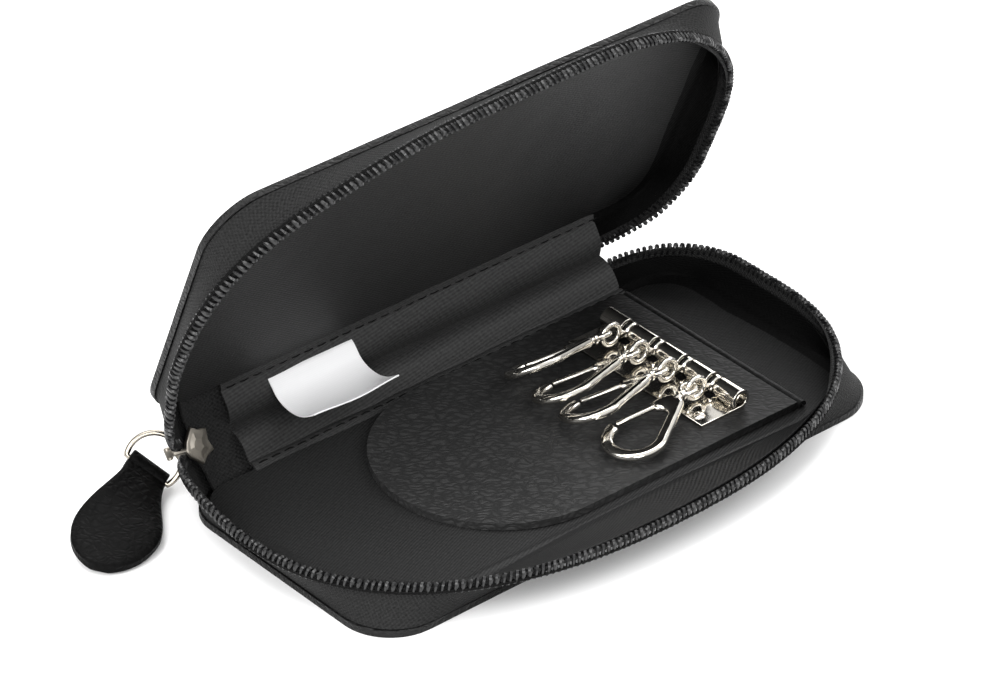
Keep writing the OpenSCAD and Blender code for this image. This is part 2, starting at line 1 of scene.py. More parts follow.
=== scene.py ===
# %% [markdown]
# # A zip-around key case, standing open
# The real object is a small leather case for keys. Two stiffened leather halves hang on a
# folding spine, a coil zip runs round their free edges, and a leather tongue carries a key rail.
# Every piece is built in millimetres around a fixed model of the parts, and then dressed.

# %% Load the frame
import math

import bpy
import numpy as np
from mathutils import Matrix, Vector, noise


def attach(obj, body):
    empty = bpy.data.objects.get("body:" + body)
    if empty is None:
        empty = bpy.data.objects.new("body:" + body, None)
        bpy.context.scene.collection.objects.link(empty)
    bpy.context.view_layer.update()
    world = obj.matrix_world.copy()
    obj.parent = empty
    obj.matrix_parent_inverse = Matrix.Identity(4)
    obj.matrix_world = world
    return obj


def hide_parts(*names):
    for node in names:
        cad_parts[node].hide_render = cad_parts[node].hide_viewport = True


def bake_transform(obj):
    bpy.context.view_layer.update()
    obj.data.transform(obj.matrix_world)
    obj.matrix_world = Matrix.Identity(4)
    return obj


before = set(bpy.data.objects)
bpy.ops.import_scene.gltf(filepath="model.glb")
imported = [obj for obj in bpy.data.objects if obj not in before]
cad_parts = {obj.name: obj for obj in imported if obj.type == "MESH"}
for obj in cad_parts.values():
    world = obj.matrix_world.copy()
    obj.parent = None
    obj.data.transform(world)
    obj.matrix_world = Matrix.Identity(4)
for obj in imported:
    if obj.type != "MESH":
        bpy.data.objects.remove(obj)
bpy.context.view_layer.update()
MM = 0.001
print("parts in the frame:", len(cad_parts))

# %% [markdown]
# ## The camera and the light
# The photograph is a studio shot with a long lens on a white table. A long lens flattens the
# object, so the camera stands about a metre away. Soft boxes on all sides and above give the
# metal its long white streaks, and the white table lights everything from below.

# %% The camera
eye = Vector((-561.54, -644.39, 586.68)) * MM
right = Vector((0.75916, -0.65090, 0.00027))
up = Vector((0.35778, 0.41763, 0.83521))
back = right.cross(up)
lens = bpy.data.cameras.new("product_lens")
lens.sensor_width = 36
lens.lens = 198
lens.clip_end = 20
camera = bpy.data.objects.new("product_camera", lens)
camera.matrix_world = Matrix((
    (right.x, up.x, back.x, eye.x), (right.y, up.y, back.y, eye.y),
    (right.z, up.z, back.z, eye.z), (0, 0, 0, 1)))
bpy.context.scene.collection.objects.link(camera)
bpy.context.scene.camera = camera
print("camera distance, mm:", round(eye.length / MM))


# %% One function for a node, one for a colour, one for a finish and one for its links
def output(value):
    """A node stands for its first output."""
    return value.outputs[0] if isinstance(value, bpy.types.Node) else value


def add(tree, kind, inputs=None, **settings):
    """Adds one shader node, sets it, and sets or links its inputs."""
    made = tree.nodes.new("ShaderNode" + kind)
    for name, value in settings.items():
        setattr(made, name, value)
    for name, value in (inputs or {}).items():
        if isinstance(output(value), bpy.types.NodeSocket):
            tree.links.new(output(value), made.inputs[name])
        else:
            made.inputs[name].default_value = value
    return made


def colour(code):
    """An sRGB hex code as the linear colour that shaders take."""
    parts = [int(code[i:i + 2], 16) / 255 for i in (1, 3, 5)]
    linear = [c / 12.92 if c <= 0.04045 else ((c + 0.055) / 1.055) ** 2.4 for c in parts]
    return (*linear, 1.0)


def finish(name, **sockets):
    """A new material with its Principled shader's constants set on the shader."""
    made = bpy.data.materials.new(name)
    made.use_nodes = True
    shader = made.node_tree.nodes["Principled BSDF"]
    for socket, value in sockets.items():
        shader.inputs[socket.replace("_", " ")].default_value = value
    return made, made.node_tree, shader


def lay(tree, shader, **sockets):
    """Links the shader's sockets to what varies over the surface."""
    for socket, value in sockets.items():
        tree.links.new(output(value), shader.inputs[socket.replace("_", " ")])


# %% Floor, sky and soft boxes
def soft_box(name, place, size, power):
    """place and size are in metres and power is in watts. Each box faces the case."""
    lamp = bpy.data.lights.new(name, "AREA")
    lamp.shape = "RECTANGLE"
    lamp.size, lamp.size_y = size
    lamp.energy = power
    made = bpy.data.objects.new(name, lamp)
    made.location = place
    made.rotation_euler = (Vector((0, 0, 0.03)) - Vector(place)).to_track_quat("-Z", "Y").to_euler()
    bpy.context.scene.collection.objects.link(made)


bpy.ops.object.select_all(action="DESELECT")
bpy.ops.mesh.primitive_plane_add(size=6, location=(0, 0, 0))
table_top = bpy.context.object
table_top.name = "table_top"
white_table, tree, shader = finish("white_paper_sweep", Base_Color=colour("#fafafa"), Roughness=0.9)
shade = add(tree, "TexNoise", {"Scale": 3.0, "Detail": 1.0})
lay(tree, shader, Base_Color=add(tree, "MapRange", {"Value": shade, "To Min": 0.955, "To Max": 0.975}))
table_top.data.materials.append(white_table)
sky = bpy.data.worlds.new("white_room")
sky.use_nodes = True
tree, background = sky.node_tree, sky.node_tree.nodes["Background"]
way = add(tree, "SeparateXYZ", {0: add(tree, "TexCoord").outputs["Generated"]})
rise = add(tree, "MapRange", {"Value": way.outputs["Z"], "From Min": 0.05, "From Max": 0.6,
                              "To Min": 0.22, "To Max": 1.05}, interpolation_type="SMOOTHSTEP")
background.inputs[0].default_value = (1, 1, 1, 1)
tree.links.new(output(rise), background.inputs[1])
bpy.context.scene.world = sky
soft_box("box_left", (-1.0, -0.1, 0.7), (0.7, 0.7), 9)
soft_box("box_front", (-0.75, -1.1, 0.55), (0.6, 0.5), 8)
soft_box("box_right", (0.9, -0.5, 0.8), (0.5, 0.8), 4)
soft_box("box_behind", (1.05, 0.8, 0.5), (0.7, 0.5), 5)
soft_box("box_top", (0.1, 0.3, 1.2), (1.2, 0.8), 12)
bpy.context.scene.view_settings.view_transform = "Standard"

# %% [markdown]
# ## Sizes and the three frames
# The halves and the spine are flat pieces that stand at angles to each other, so each is drawn
# flat in a frame of its own and then placed. In a half, x runs along the spine, u from the fold
# to the front and w inwards. In the spine, y runs from the base to the lid.

# %% The sizes, in millimetres
# a leather panel and its corners, the layers and the teeth, and the shut case and the open lid
panel_l, panel_d, front_r, rear_r = 125.0, 61.0, 11.0, 9.0
leather_t, board_t, lining_t, tape_t, tooth_h = 1.4, 0.7, 0.6, 1.0, 1.4
closed_t, clear, lid_lean = 17.8, 0.3, 112.7

# the teeth line: how far it stands outside the panel, its rear corners and its front's bulge
row_side, row_front, row_r, row_power = 3.3, 10.6, 17.0, 2.35
fold_y, fold_r = panel_d / 2, leather_t * 0.93
spine_w = closed_t - 2 * fold_r
floor_w = leather_t + board_t + lining_t
row_w = closed_t / 2 - clear / 2
rear_u = fold_r + clear
mid_u = panel_d * 0.49
row_a, row_d = panel_l / 2 + row_side, panel_d + row_front
row_u0, row_rear_u = row_d * 0.363, -panel_d * 0.01
spine_x = panel_l * 0.372
wall_x = spine_x + 3 * clear
lean = math.radians(lid_lean / 2)

# shares of the teeth line: where the left corner starts to rise, the slider, and both ends
web_share, slider_share, web_end, open_end = 0.775, 0.965, 1.012, 1.012

# how the wall sags at its right end, and how the lid's hangs in between two shares of the line
sag_from, sag_in, sag_down = 0.93, 2.2, 1.8
hang_in, hang_up, hang_from, hang_grows, hang_to, hang_fades = 2.4, 0.8, -0.62, 0.27, 0.45, 0.5


# %% Placing a point of a half or of the spine
def in_spine(x, y, z):
    """Place of a spine point: y from the base fold to the lid fold, z inwards."""
    return (x, fold_y + y * math.cos(lean) - z * math.sin(lean),
            fold_r + y * math.sin(lean) + z * math.cos(lean))


def in_base(x, u, w):
    return (x, fold_y - u, w)


def in_lid(x, u, w):
    h = w - fold_r
    return in_spine(x, spine_w + u * math.cos(lean) - h * math.sin(lean),
                    u * math.sin(lean) + h * math.cos(lean))


halves = {"base": in_base, "lid": in_lid}
toward_lid = np.array((0, math.cos(lean), math.sin(lean)))
spine_middle = np.array(in_spine(0, spine_w / 2, 0))


# %% The teeth line and the leather edge, as two tables of angle and radius
def arc(steps, place):
    return [place(math.radians(90 * i / steps)) for i in range(1, steps + 1)]


teeth_points = [(0, row_d)]
teeth_points += arc(24, lambda a: (row_a * math.sin(a) ** (2 / row_power),
                                   row_u0 + (row_d - row_u0) * max(0, math.cos(a)) ** (2 / row_power)))
teeth_points += [(row_a, row_u0 + (row_rear_u + row_r - row_u0) * i / 12) for i in range(1, 13)]
teeth_points += arc(12, lambda a: (row_a - row_r * (1 - math.cos(a)),
                                   row_rear_u + row_r * (1 - math.sin(a))))
teeth_points += [(wall_x * 0.9, row_rear_u)]
edge_points = [((panel_l / 2 - front_r) * i / 12, panel_d) for i in range(13)]
edge_points += arc(12, lambda a: (panel_l / 2 - front_r * (1 - math.sin(a)),
                                  panel_d - front_r * (1 - math.cos(a))))
edge_points += [(panel_l / 2, panel_d - front_r + (rear_u + rear_r + front_r - panel_d) * i / 12)
                for i in range(1, 13)]
edge_points += arc(12, lambda a: (panel_l / 2 - rear_r * (1 - math.cos(a)),
                                  rear_u + rear_r * (1 - math.sin(a))))
edge_points += [(wall_x * 0.8, rear_u)]


def polar(points):
    angles = [math.degrees(math.atan2(x, u - mid_u)) for x, u in points]
    return np.array(angles), np.array([math.hypot(x, u - mid_u) for x, u in points])


row_table, edge_table = polar(teeth_points), polar(edge_points)
row_end = math.degrees(math.atan2(wall_x, row_rear_u - mid_u))
edge_end = math.degrees(math.atan2(wall_x, rear_u - mid_u))


def at(table, end, s, inset):
    r = float(np.interp(abs(s * end), *table)) - inset
    a = math.radians(s * end)
    return np.array((r * math.sin(a), mid_u + r * math.cos(a)))


def row_at(s, inset=0.0):
    """A point of the teeth line: s is -1 at the left rear end and 1 at the right."""
    return at(row_table, row_end, s, inset)


def edge_at(s, inset=0.0):
    return at(edge_table, edge_end, s, inset)


def unit(v):
    return v / np.linalg.norm(v)


def lengths_along(points):
    """How long a line of points is up to each of them."""
    return np.concatenate(([0], np.cumsum(np.linalg.norm(np.diff(points, axis=0), axis=1))))


def smooth(t):
    """Eases from 0 to 1."""
    t = min(1.0, max(0.0, t))
    return t * t * (3 - 2 * t)


def climb(p, s, drop):
    """Lifts a point of the teeth line to the wall's upper edge. On the left that rises to the middle
    plane, and at its right end it sags back into the spine."""
    k = smooth((abs(s) - web_share) / (slider_share - web_share)) if s < 0 else 0.0
    reach = spine_w / 2 - clear / 2 - drop
    mid = (p[0], p[1] * math.sin(lean) - reach * math.cos(lean),
           fold_r + reach * math.sin(lean) + p[1] * math.cos(lean))
    sag = smooth((s - sag_from) / (1 - sag_from))
    free = (p[0], p[1] - sag_in * sag, row_w - drop - sag_down * sag)
    return (1 - k) * np.array(free) + k * np.array(mid)


def hang(half, s):
    """How far the lid's soft wall hangs in along its front, where nothing holds it, in x, u and w."""
    if half == "base":
        return np.zeros(3)
    share = smooth((s - hang_from) / hang_grows) * smooth((hang_to - s) / hang_fades)
    return np.array((0.0, -hang_in, hang_up)) * share


def web_top(half, s, inset, drop):
    return climb(row_at(s, inset), s, drop) + hang(half, s)


print("teeth line ends at", row_at(1).round(1))

# %% [markdown]
# ## Tools for the pieces
# Most of the case is thin sheet: leather, cloth and tape. Each sheet starts as Blender's grid,
# its points are moved to their places, and a Solidify modifier gives it its thickness. Its UV
# map holds real metres, so that weaves keep their thread spacing. Wires are curves with a round
# section, stamped pieces are flat outlines with rounded edges, and turned pieces are profiles.


# %% Picking, tidying and dressing a piece
def pick(piece):
    bpy.ops.object.select_all(action="DESELECT")
    piece.select_set(True)
    bpy.context.view_layer.objects.active = piece


def tidy(piece, angle=35, gap=0.004):
    """Merges doubled points, turns all faces outwards and smooths the gentle edges."""
    pick(piece)
    bpy.ops.object.mode_set(mode="EDIT")
    bpy.ops.mesh.select_all(action="SELECT")
    bpy.ops.mesh.remove_doubles(threshold=gap * MM)
    bpy.ops.mesh.normals_make_consistent(inside=False)
    bpy.ops.object.mode_set(mode="OBJECT")
    bpy.ops.object.shade_smooth_by_angle(angle=math.radians(angle))
    return piece


def apply(piece, kind, **settings):
    pick(piece)
    step = piece.modifiers.new(kind.lower(), kind)
    for name, value in settings.items():
        setattr(step, name, value)
    bpy.ops.object.modifier_apply(modifier=step.name)


def dress(piece, material, body=None, replaces=()):
    piece.data.materials.clear()
    piece.data.materials.append(material)
    if body:
        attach(piece, body)
    if replaces:
        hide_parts(*replaces)
    print(piece.name, len(piece.data.polygons), "faces")
    return piece


# %% A sheet, a wire, a stamped piece and a turned piece
def sheet(name, columns, rows, place, thick=0.0, side=0.0, bevel=0.0):
    """place(s, t), both from 0 to 1, gives a point and its flat place, all in millimetres."""
    bpy.ops.object.select_all(action="DESELECT")
    bpy.ops.mesh.primitive_grid_add(x_subdivisions=columns, y_subdivisions=rows, size=1)
    piece = bpy.context.object
    piece.name = piece.data.name = name
    flat = []
    for v in piece.data.vertices:
        spot, map_spot = place(min(1, max(0, v.co.x + 0.5)), min(1, max(0, v.co.y + 0.5)))
        v.co = Vector([float(c) * MM for c in spot])
        flat.append((map_spot[0] * MM, map_spot[1] * MM))
    for corner in piece.data.loops:
        piece.data.uv_layers[0].data[corner.index].uv = flat[corner.vertex_index]
    if thick:
        apply(piece, "SOLIDIFY", thickness=thick * MM, offset=side)
    if bevel:
        apply(piece, "BEVEL", width=bevel * MM, segments=3, limit_method="ANGLE",
              angle_limit=math.radians(50))
    return tidy(piece)


def spline(points, cyclic=False, swell=None):
    """A curve object through points in millimetres; swell is how much thicker it is at each point."""
    bpy.ops.object.select_all(action="DESELECT")
    bpy.ops.curve.primitive_nurbs_path_add()
    made = bpy.context.object
    made.data.splines.clear()
    made.data.dimensions = "3D"
    made.location = (0, 0, 0)
    for line in points if isinstance(points[0][0], (list, tuple, np.ndarray)) else [points]:
        part = made.data.splines.new("POLY")
        part.points.add(len(line) - 1)
        for spot, p in zip(part.points, line):
            spot.co = (*[float(c) * MM for c in p], 1)
        if swell:
            part.points.foreach_set("radius", swell)
        part.use_cyclic_u = cyclic
    return made


def to_mesh(piece, name, matrix=None):
    pick(piece)
    bpy.ops.object.convert(target="MESH")
    piece = bpy.context.object
    piece.data.transform(piece.matrix_world)
    piece.matrix_world = Matrix.Identity(4)
    if matrix is not None:
        piece.data.transform(matrix)
    piece.name = piece.data.name = name
    return piece


def wire(name, points, radius, cyclic=False, round_=1, matrix=None, swell=None):
    made = spline(points, cyclic, swell)
    made.data.bevel_depth = radius * MM
    made.data.bevel_resolution = round_
    made.data.use_fill_caps = not cyclic
    return tidy(to_mesh(made, name, matrix), 50)


def stamped(name, outlines, thick, rounding, matrix):
    """A flat outline with its holes, in x and y, thick about its middle, edges rounded."""
    made = spline([[(x, y, 0) for x, y in line] for line in outlines], True)
    made.data.dimensions = "2D"
    made.data.fill_mode = "BOTH"
    made.data.extrude = (thick / 2 - rounding) * MM
    made.data.bevel_depth = rounding * MM
    made.data.offset = -rounding * MM
    made.data.bevel_resolution = 2
    return tidy(to_mesh(made, name, matrix), 40)


def turned(name, profile, matrix, steps=24):
    """A profile of (radius, height) points, spun about z."""
    made = to_mesh(spline([(r, 0, z) for r, z in profile]), name)
    apply(made, "SCREW", steps=steps, render_steps=steps, use_merge_vertices=True,
          merge_threshold=0.002 * MM)
    made.data.transform(matrix)
    return tidy(made, 40)


def rod_profile(r, half, ease):
    """A rod about z, solid, with eased ends."""
    return [(0, -half), (r - ease, -half), (r, ease - half), (r, half - ease), (r - ease, half), (0, half)]


def join(name, *parts):
    bpy.ops.object.select_all(action="DESELECT")
    for part in parts:
        part.select_set(True)
    bpy.context.view_layer.objects.active = parts[0]
    bpy.ops.object.join()
    parts[0].name = parts[0].data.name = name
    return parts[0]


def ripple(x, y, seed, size, height):
    """A gentle unevenness of cloth or leather, size across, in millimetres."""
    return height * noise.noise(Vector((x / size, y / size, seed)))


print("tools ready")

# %% [markdown]
# ## Leather
# The skin is cowhide with a pebbled grain: raised cells about a millimetre wide with fine
# creases between them, dyed black and left with a satin finish. Cells come from a Voronoi
# pattern whose distance to the nearest edge makes the creases; noise bends the cells so that
# no two are alike. On the tongue the cells are drawn out aslant, as in a hide that was stretched.

# %% Pebbled leather
grain_turn = math.radians(-38)
# the span where hands have worn the grain flat, and the span of painted shade that darkens the hide towards
# the right end
rubbed_x, painted_shade_x = (-35 * MM, 10 * MM), (-4 * MM, 42 * MM)


def pebbled(name, cell, stretch, depth, tone, rough, worn=(1.0, 1.0), gleam=0.24, far=None):
    """cell is the width of a grain cell in millimetres, stretch its length to width, and worn how
    much of the grain is left over rubbed_x, where hands and keys have pressed it flat. far is the
    share of tone and gloss left where the painted shade, darkening the hide to the right, is deepest."""
    made, tree, shader = finish(name, Roughness=rough, Specular_IOR_Level=gleam, IOR=1.5)
    place = add(tree, "TexCoord").outputs["Object"]
    bend = add(tree, "TexNoise", {"Vector": place, "Scale": 0.35 / (cell * MM), "Detail": 2.0})
    bent = add(tree, "VectorMath", {0: bend.outputs["Color"], 1: (0.5, 0.5, 0.5)}, operation="SUBTRACT")
    push = add(tree, "VectorMath", {0: bent, "Scale": 2.4 * cell * MM}, operation="SCALE")
    moved = add(tree, "VectorMath", {0: place, 1: push})
    drawn = add(tree, "Mapping", {"Vector": moved, "Scale": (stretch, 1, 1),
                                  "Rotation": (0, 0, grain_turn)}, vector_type="TEXTURE")
    cells = add(tree, "TexVoronoi", {"Vector": drawn, "Scale": 1 / (cell * MM)}, feature="DISTANCE_TO_EDGE")
    crease = add(tree, "MapRange", {"Value": cells.outputs["Distance"], "From Max": 0.34},
                 interpolation_type="SMOOTHSTEP")
    pores = add(tree, "TexNoise", {"Vector": place, "Scale": 4000.0, "Detail": 3.0})
    folds = add(tree, "TexNoise", {"Vector": drawn, "Scale": 0.25 / (cell * MM), "Detail": 3.0})
    grain = add(tree, "Math", {0: pores, 1: 0.25, 2: crease}, operation="MULTIPLY_ADD")
    raised = add(tree, "Math", {0: folds, 1: 0.9, 2: grain}, operation="MULTIPLY_ADD")
    x = add(tree, "SeparateXYZ", {0: place}).outputs["X"]
    left = add(tree, "MapRange", {"Value": x, "From Min": rubbed_x[0], "From Max": rubbed_x[1],
                                  "To Min": worn[0], "To Max": worn[1]})
    height = add(tree, "Math", {0: raised, 1: left}, operation="MULTIPLY")
    bump = add(tree, "Bump", {"Height": height, "Strength": 0.75, "Distance": depth * MM})
    dark, light = (colour(code) for code in tone)
    paint = add(tree, "Mix", {0: crease, 6: dark, 7: light}, data_type="RGBA").outputs[2]
    gloss = add(tree, "MapRange", {"Value": folds, "To Min": rough - 0.06, "To Max": rough + 0.08})
    # painted shade: tone and gloss fall off towards the right end
    if far:
        share = add(tree, "MapRange", {"Value": x, "From Min": painted_shade_x[0], "From Max": painted_shade_x[1],
                                       "To Min": 1.0, "To Max": far}, interpolation_type="SMOOTHSTEP")
        paint = add(tree, "VectorMath", {0: paint, "Scale": share}, operation="SCALE")
        lay(tree, shader, Specular_IOR_Level=add(tree, "Math", {0: share, 1: gleam}, operation="MULTIPLY"))
    lay(tree, shader, Base_Color=paint, Roughness=gloss, Normal=bump)
    return made


cowhide = pebbled("black_pebbled_cowhide", 1.25, 1.5, 0.2, ("#070707", "#0c0c0c"), 0.44)
# the tongue and its welt: the case's black hide painted lighter as a painted sheen, with painted shade
# towards the tongue's sewn right end
tongue_hide = pebbled("black_pebbled_cowhide_drawn_painted_sheen_and_shade", 1.15, 2.4, 0.15, ("#272727", "#353535"), 0.42,
                      worn=(1.0, 0.3), far=0.3)
# the pull and its loop: painted darker and given less shine than the case's hide, as painted shade
pull_hide = pebbled("black_pebbled_cowhide_handled_painted_shade", 1.4, 1.3, 0.12, ("#020202", "#050505"), 0.52,
                    gleam=0.06)
spine_hide = pebbled("black_pebbled_cowhide_folded", 0.9, 1.0, 0.1, ("#0a0a0b", "#161617"), 0.5)

# %% [markdown]
# ## Cloth
# The lining is a black twill: threads step sideways at each row and make diagonal ribs, on the
# real cloth three to the millimetre, drawn here at less than two so that they still show. The zip tape
# is woven with ribs across it, and the label is a smooth white satin.


# %% Woven cloth with two sets of ribs
def woven(name, ribs, tones, rough, sheen, depth, slub=0.35, fade=None):
    """ribs holds (direction, spacing in millimetres, share) of each set of ribs on the UV map. fade is
    an axis of that map, the millimetres over which a painted shade deepens, and the tone that is left."""
    gleam = 0.25
    made, tree, shader = finish(name, Roughness=rough, Sheen_Weight=sheen, Sheen_Roughness=0.4,
                                Specular_IOR_Level=gleam)
    place = add(tree, "UVMap")
    wander = add(tree, "TexNoise", {"Vector": place, "Scale": 300.0, "Detail": 2.0})
    total = 0.0
    for (x, y), spacing, share in ribs:
        turn = 2 * math.pi / (spacing * MM * math.hypot(x, y))
        phase = add(tree, "VectorMath", {0: place, 1: (x * turn, y * turn, 0)}, operation="DOT_PRODUCT")
        loose = add(tree, "Math", {0: wander, 1: 2.5, 2: phase.outputs["Value"]}, operation="MULTIPLY_ADD")
        wave = add(tree, "Math", {0: loose}, operation="SINE")
        total = add(tree, "Math", {0: wave, 1: share / 2, 2: total}, operation="MULTIPLY_ADD")
    fluff = add(tree, "TexNoise", {"Vector": place, "Scale": 1700.0, "Detail": 4.0})
    height = add(tree, "Math", {0: fluff, 1: slub, 2: total}, operation="MULTIPLY_ADD")
    level = add(tree, "MapRange", {"Value": height, "From Min": slub / 2 - 0.6, "From Max": slub / 2 + 0.6})
    dark, light = (colour(code) for code in tones)
    paint = add(tree, "Mix", {0: level, 6: dark, 7: light}, data_type="RGBA").outputs[2]
    bump = add(tree, "Bump", {"Height": height, "Strength": 0.7, "Distance": depth * MM})
    # painted shade: tone and gloss fall along one axis of the UV map
    if fade:
        axis, start, stop, left = fade
        along = add(tree, "SeparateXYZ", {0: place}).outputs[axis]
        painted_shade_level = add(tree, "MapRange", {"Value": along, "From Min": start * MM, "From Max": stop * MM,
                                     "To Min": 1.0, "To Max": left}, interpolation_type="SMOOTHSTEP")
        paint = add(tree, "VectorMath", {0: paint, "Scale": painted_shade_level}, operation="SCALE")
        lay(tree, shader, Specular_IOR_Level=add(tree, "Math", {0: painted_shade_level, 1: gleam}, operation="MULTIPLY"))
    lay(tree, shader, Base_Color=paint, Normal=bump)
    return made


twill_ribs, twill_tones = [((1, 2.67), 0.55, 0.5), ((1, -0.6), 1.1, 0.12)], ("#020202", "#323232")
# floor and wall linings: one twill with painted shade that darkens it towards the case's right end, more
# deeply on the wall
floor_twill = woven("black_twill_lining_painted_shade", twill_ribs, twill_tones, 0.55, 0.0, 0.08, 1.0,
                    ("X", 12, 56, 0.25))
side_twill = woven("black_twill_wall_lining_painted_shade", twill_ribs, twill_tones, 0.55, 0.0, 0.08, 1.0,
                   ("X", 66, 158, 0.1))
band_twill = woven("black_twill_spine_lining", [((-1, 7.9), 0.55, 0.35), ((1, 0.6), 1.3, 0.12)],
                   ("#040404", "#3c3c3c"), 0.55, 0.0, 0.07, 1.0)
zip_cloth = woven("black_woven_zip_tape", [((1, 0.4), 0.62, 0.3), ((1, -0.9), 0.7, 0.3)],
                  ("#010101", "#242424"), 0.75, 0.0, 0.35, 1.6)
satin = woven("white_satin", [((1, 0), 0.16, 0.25), ((0, 1), 0.4, 0.2)], ("#ececee", "#fbfbfb"),
              0.32, 0.1, 0.012, 0.1)

# %% Card, thread and nylon
# grey board of pulped fibre: matt and slightly mottled
card, tree, shader = finish("grey_stiffener_card", Roughness=0.85)
place = add(tree, "TexCoord").outputs["Object"]
fibre = add(tree, "TexNoise", {"Vector": place, "Scale": 900.0, "Detail": 5.0})
paint = add(tree, "Mix", {0: fibre, 6: colour("#6d675d"), 7: colour("#8f887b")}, data_type="RGBA")
lay(tree, shader, Base_Color=paint.outputs[2])

# nylon monofilament, set hot round the coil: smooth, with draw lines that break up its gloss
nylon, tree, shader = finish("black_nylon_monofilament", Base_Color=colour("#0d0d0e"), Roughness=0.3,
                             IOR=1.53)
place = add(tree, "TexCoord").outputs["Object"]
smear = add(tree, "TexNoise", {"Vector": place, "Scale": 1500.0, "Detail": 2.0})
lay(tree, shader, Roughness=add(tree, "MapRange", {"Value": smear, "To Min": 0.22, "To Max": 0.42}))

# spun polyester thread: twisted plies, dull and fuzzy
thread, tree, shader = finish("black_polyester_thread", Base_Color=colour("#080808"), Roughness=0.7,
                              Specular_IOR_Level=0.12)
place = add(tree, "TexCoord").outputs["Object"]
twist = add(tree, "TexWave", {"Vector": place, "Scale": 900.0, "Distortion": 1.0})
lay(tree, shader, Normal=add(tree, "Bump", {"Height": twist, "Strength": 0.5, "Distance": 0.03 * MM}))

# %% [markdown]
# ## Nickel
# Rail, links and clips are steel or zinc with bright nickel plate. Nickel is a slightly warm,
# very smooth metal. Tumbling before plating leaves faint waves and a few fine scratches, and
# hands dull it a little, so the roughness wanders between mirror and satin.


# %% Nickel plate
def plated(name, tone, rough, wave):
    made, tree, shader = finish(name, Base_Color=colour(tone), Metallic=1.0, Roughness=rough)
    place = add(tree, "TexCoord").outputs["Object"]
    swell = add(tree, "TexNoise", {"Vector": place, "Scale": 350.0, "Detail": 1.0})
    scratch = add(tree, "Mapping", {"Vector": place, "Scale": (9000, 500, 500)})
    lines = add(tree, "TexNoise", {"Vector": scratch, "Scale": 1.0, "Detail": 2.0})
    height = add(tree, "Math", {0: lines, 1: 0.06, 2: swell}, operation="MULTIPLY_ADD")
    bump = add(tree, "Bump", {"Height": height, "Strength": 0.5, "Distance": wave * MM})
    gloss = add(tree, "MapRange", {"Value": swell, "To Min": rough * 0.6, "To Max": rough * 1.7})
    lay(tree, shader, Roughness=gloss, Normal=bump)
    return made


nickel = plated("bright_nickel_plate", "#e2ded6", 0.09, 0.25)
rail_nickel = plated("bright_nickel_plate_rolled", "#d8d4cc", 0.1, 0.12)
cast_nickel = plated("satin_nickel_on_zinc", "#a8a298", 0.34, 0.12)
# the ring's wire: nickel painted darker as painted shade, in place of dark reflections; it is also rougher
ring_nickel_painted_shade = plated("dulled_nickel_plate_on_wire_painted_shade", "#9a948a", 0.2, 0.2)
print("materials:", len(bpy.data.materials))

# %% [markdown]
# ## The leather skins
# Each half is one piece of cowhide over card, its edge turned in and pressed. The panel is
# drawn as a grid whose rows narrow at the corners, thickened inwards, and its edges are
# rounded with a bevel. A little unevenness keeps it from looking like sheet metal.


# %% A panel's outline, and a flat grid that fills it
def half_width(u, inset):
    """Half of a panel's length at depth u, with its outline moved in by inset."""
    x = panel_l / 2 - inset
    for depth, r in ((rear_u + rear_r - u, rear_r - inset), (u - panel_d + front_r, front_r - inset)):
        if depth > 0:
            x -= r - math.sqrt(max(0.0, r * r - depth * depth))
    return x


def crowd(t, ends=0.8):
    """Moves even steps towards both ends, where the corners need them."""
    return (1 - ends) * t + ends * (1 - math.cos(math.pi * t)) / 2


def panel(place, inset, height):
    """A panel's grid; height(x, u) is how far its face stands inwards."""
    def spot(s, t):
        u = rear_u + inset + (panel_d - rear_u - 2 * inset) * crowd(t)
        x = half_width(u, inset) * (2 * crowd(s, 0.4) - 1)
        return place(x, u, height(x, u)), (x, u)
    return spot


# %% The leather skins of both halves
def skin_height(uneven):
    """The middle of the hide. The base's lies flat on the table and the lid's is a little uneven."""
    def height(x, u):
        return leather_t / 2 + ripple(x, u, 8.0, 30, uneven)
    return height


for half, place in halves.items():
    height = skin_height({"base": 0.0, "lid": 0.25}[half])
    skin = sheet(half + "_leather_skin", 120, 60, panel(place, 0.0, height), thick=leather_t, bevel=0.55)
    dress(skin, cowhide, half, [half + "_cover"])
    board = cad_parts[half + "_board"]
    board.data.materials.clear()
    board.data.materials.append(card)

# %% [markdown]
# ## The lining
# Black twill covers the card and climbs the zip tape nearly to the teeth. Floor and wall are two
# sheets. The wall starts flat on the floor and curves up, so the seam between them lies tangent
# to the floor and can't be seen. The cloth is a little loose.


# %% Floor lining
cloth_t, floor_inset = 0.5, 2.2
tuck_lines, tuck_h, tuck_w, tuck_x, tuck_run = ((57.2, 0.012), (59.0, -0.006)), 0.22, 0.55, 52, 20


def floor_height(seed):
    """A loose cloth with two low tucks along its front, each at a depth that changes with x."""
    def height(x, u):
        rise = floor_w - lining_t / 2 + ripple(x, u, seed, 22, 0.16) + ripple(x, u, seed + 5, 6, 0.05)
        for depth, slope in tuck_lines:
            fade = smooth((tuck_x - abs(x)) / tuck_run)
            rise += tuck_h * math.exp(-((u - depth - slope * x) / tuck_w) ** 2) * fade
        return rise
    return height


for half, place in halves.items():
    height = floor_height({"base": 1.0, "lid": 6.0}[half])
    floor = sheet(half + "_floor_lining", 160, 90, panel(place, floor_inset, height), thick=cloth_t)
    dress(floor, floor_twill, half, [half + "_lining"])

# %% The teeth line's lengths, and its outward direction
share_steps = np.linspace(-1, 1, 801)
line_lengths = lengths_along(np.array([row_at(s) for s in share_steps]))


def share_at(length):
    return float(np.interp(length, line_lengths, share_steps))


def length_at(s):
    return float(np.interp(s, share_steps, line_lengths))


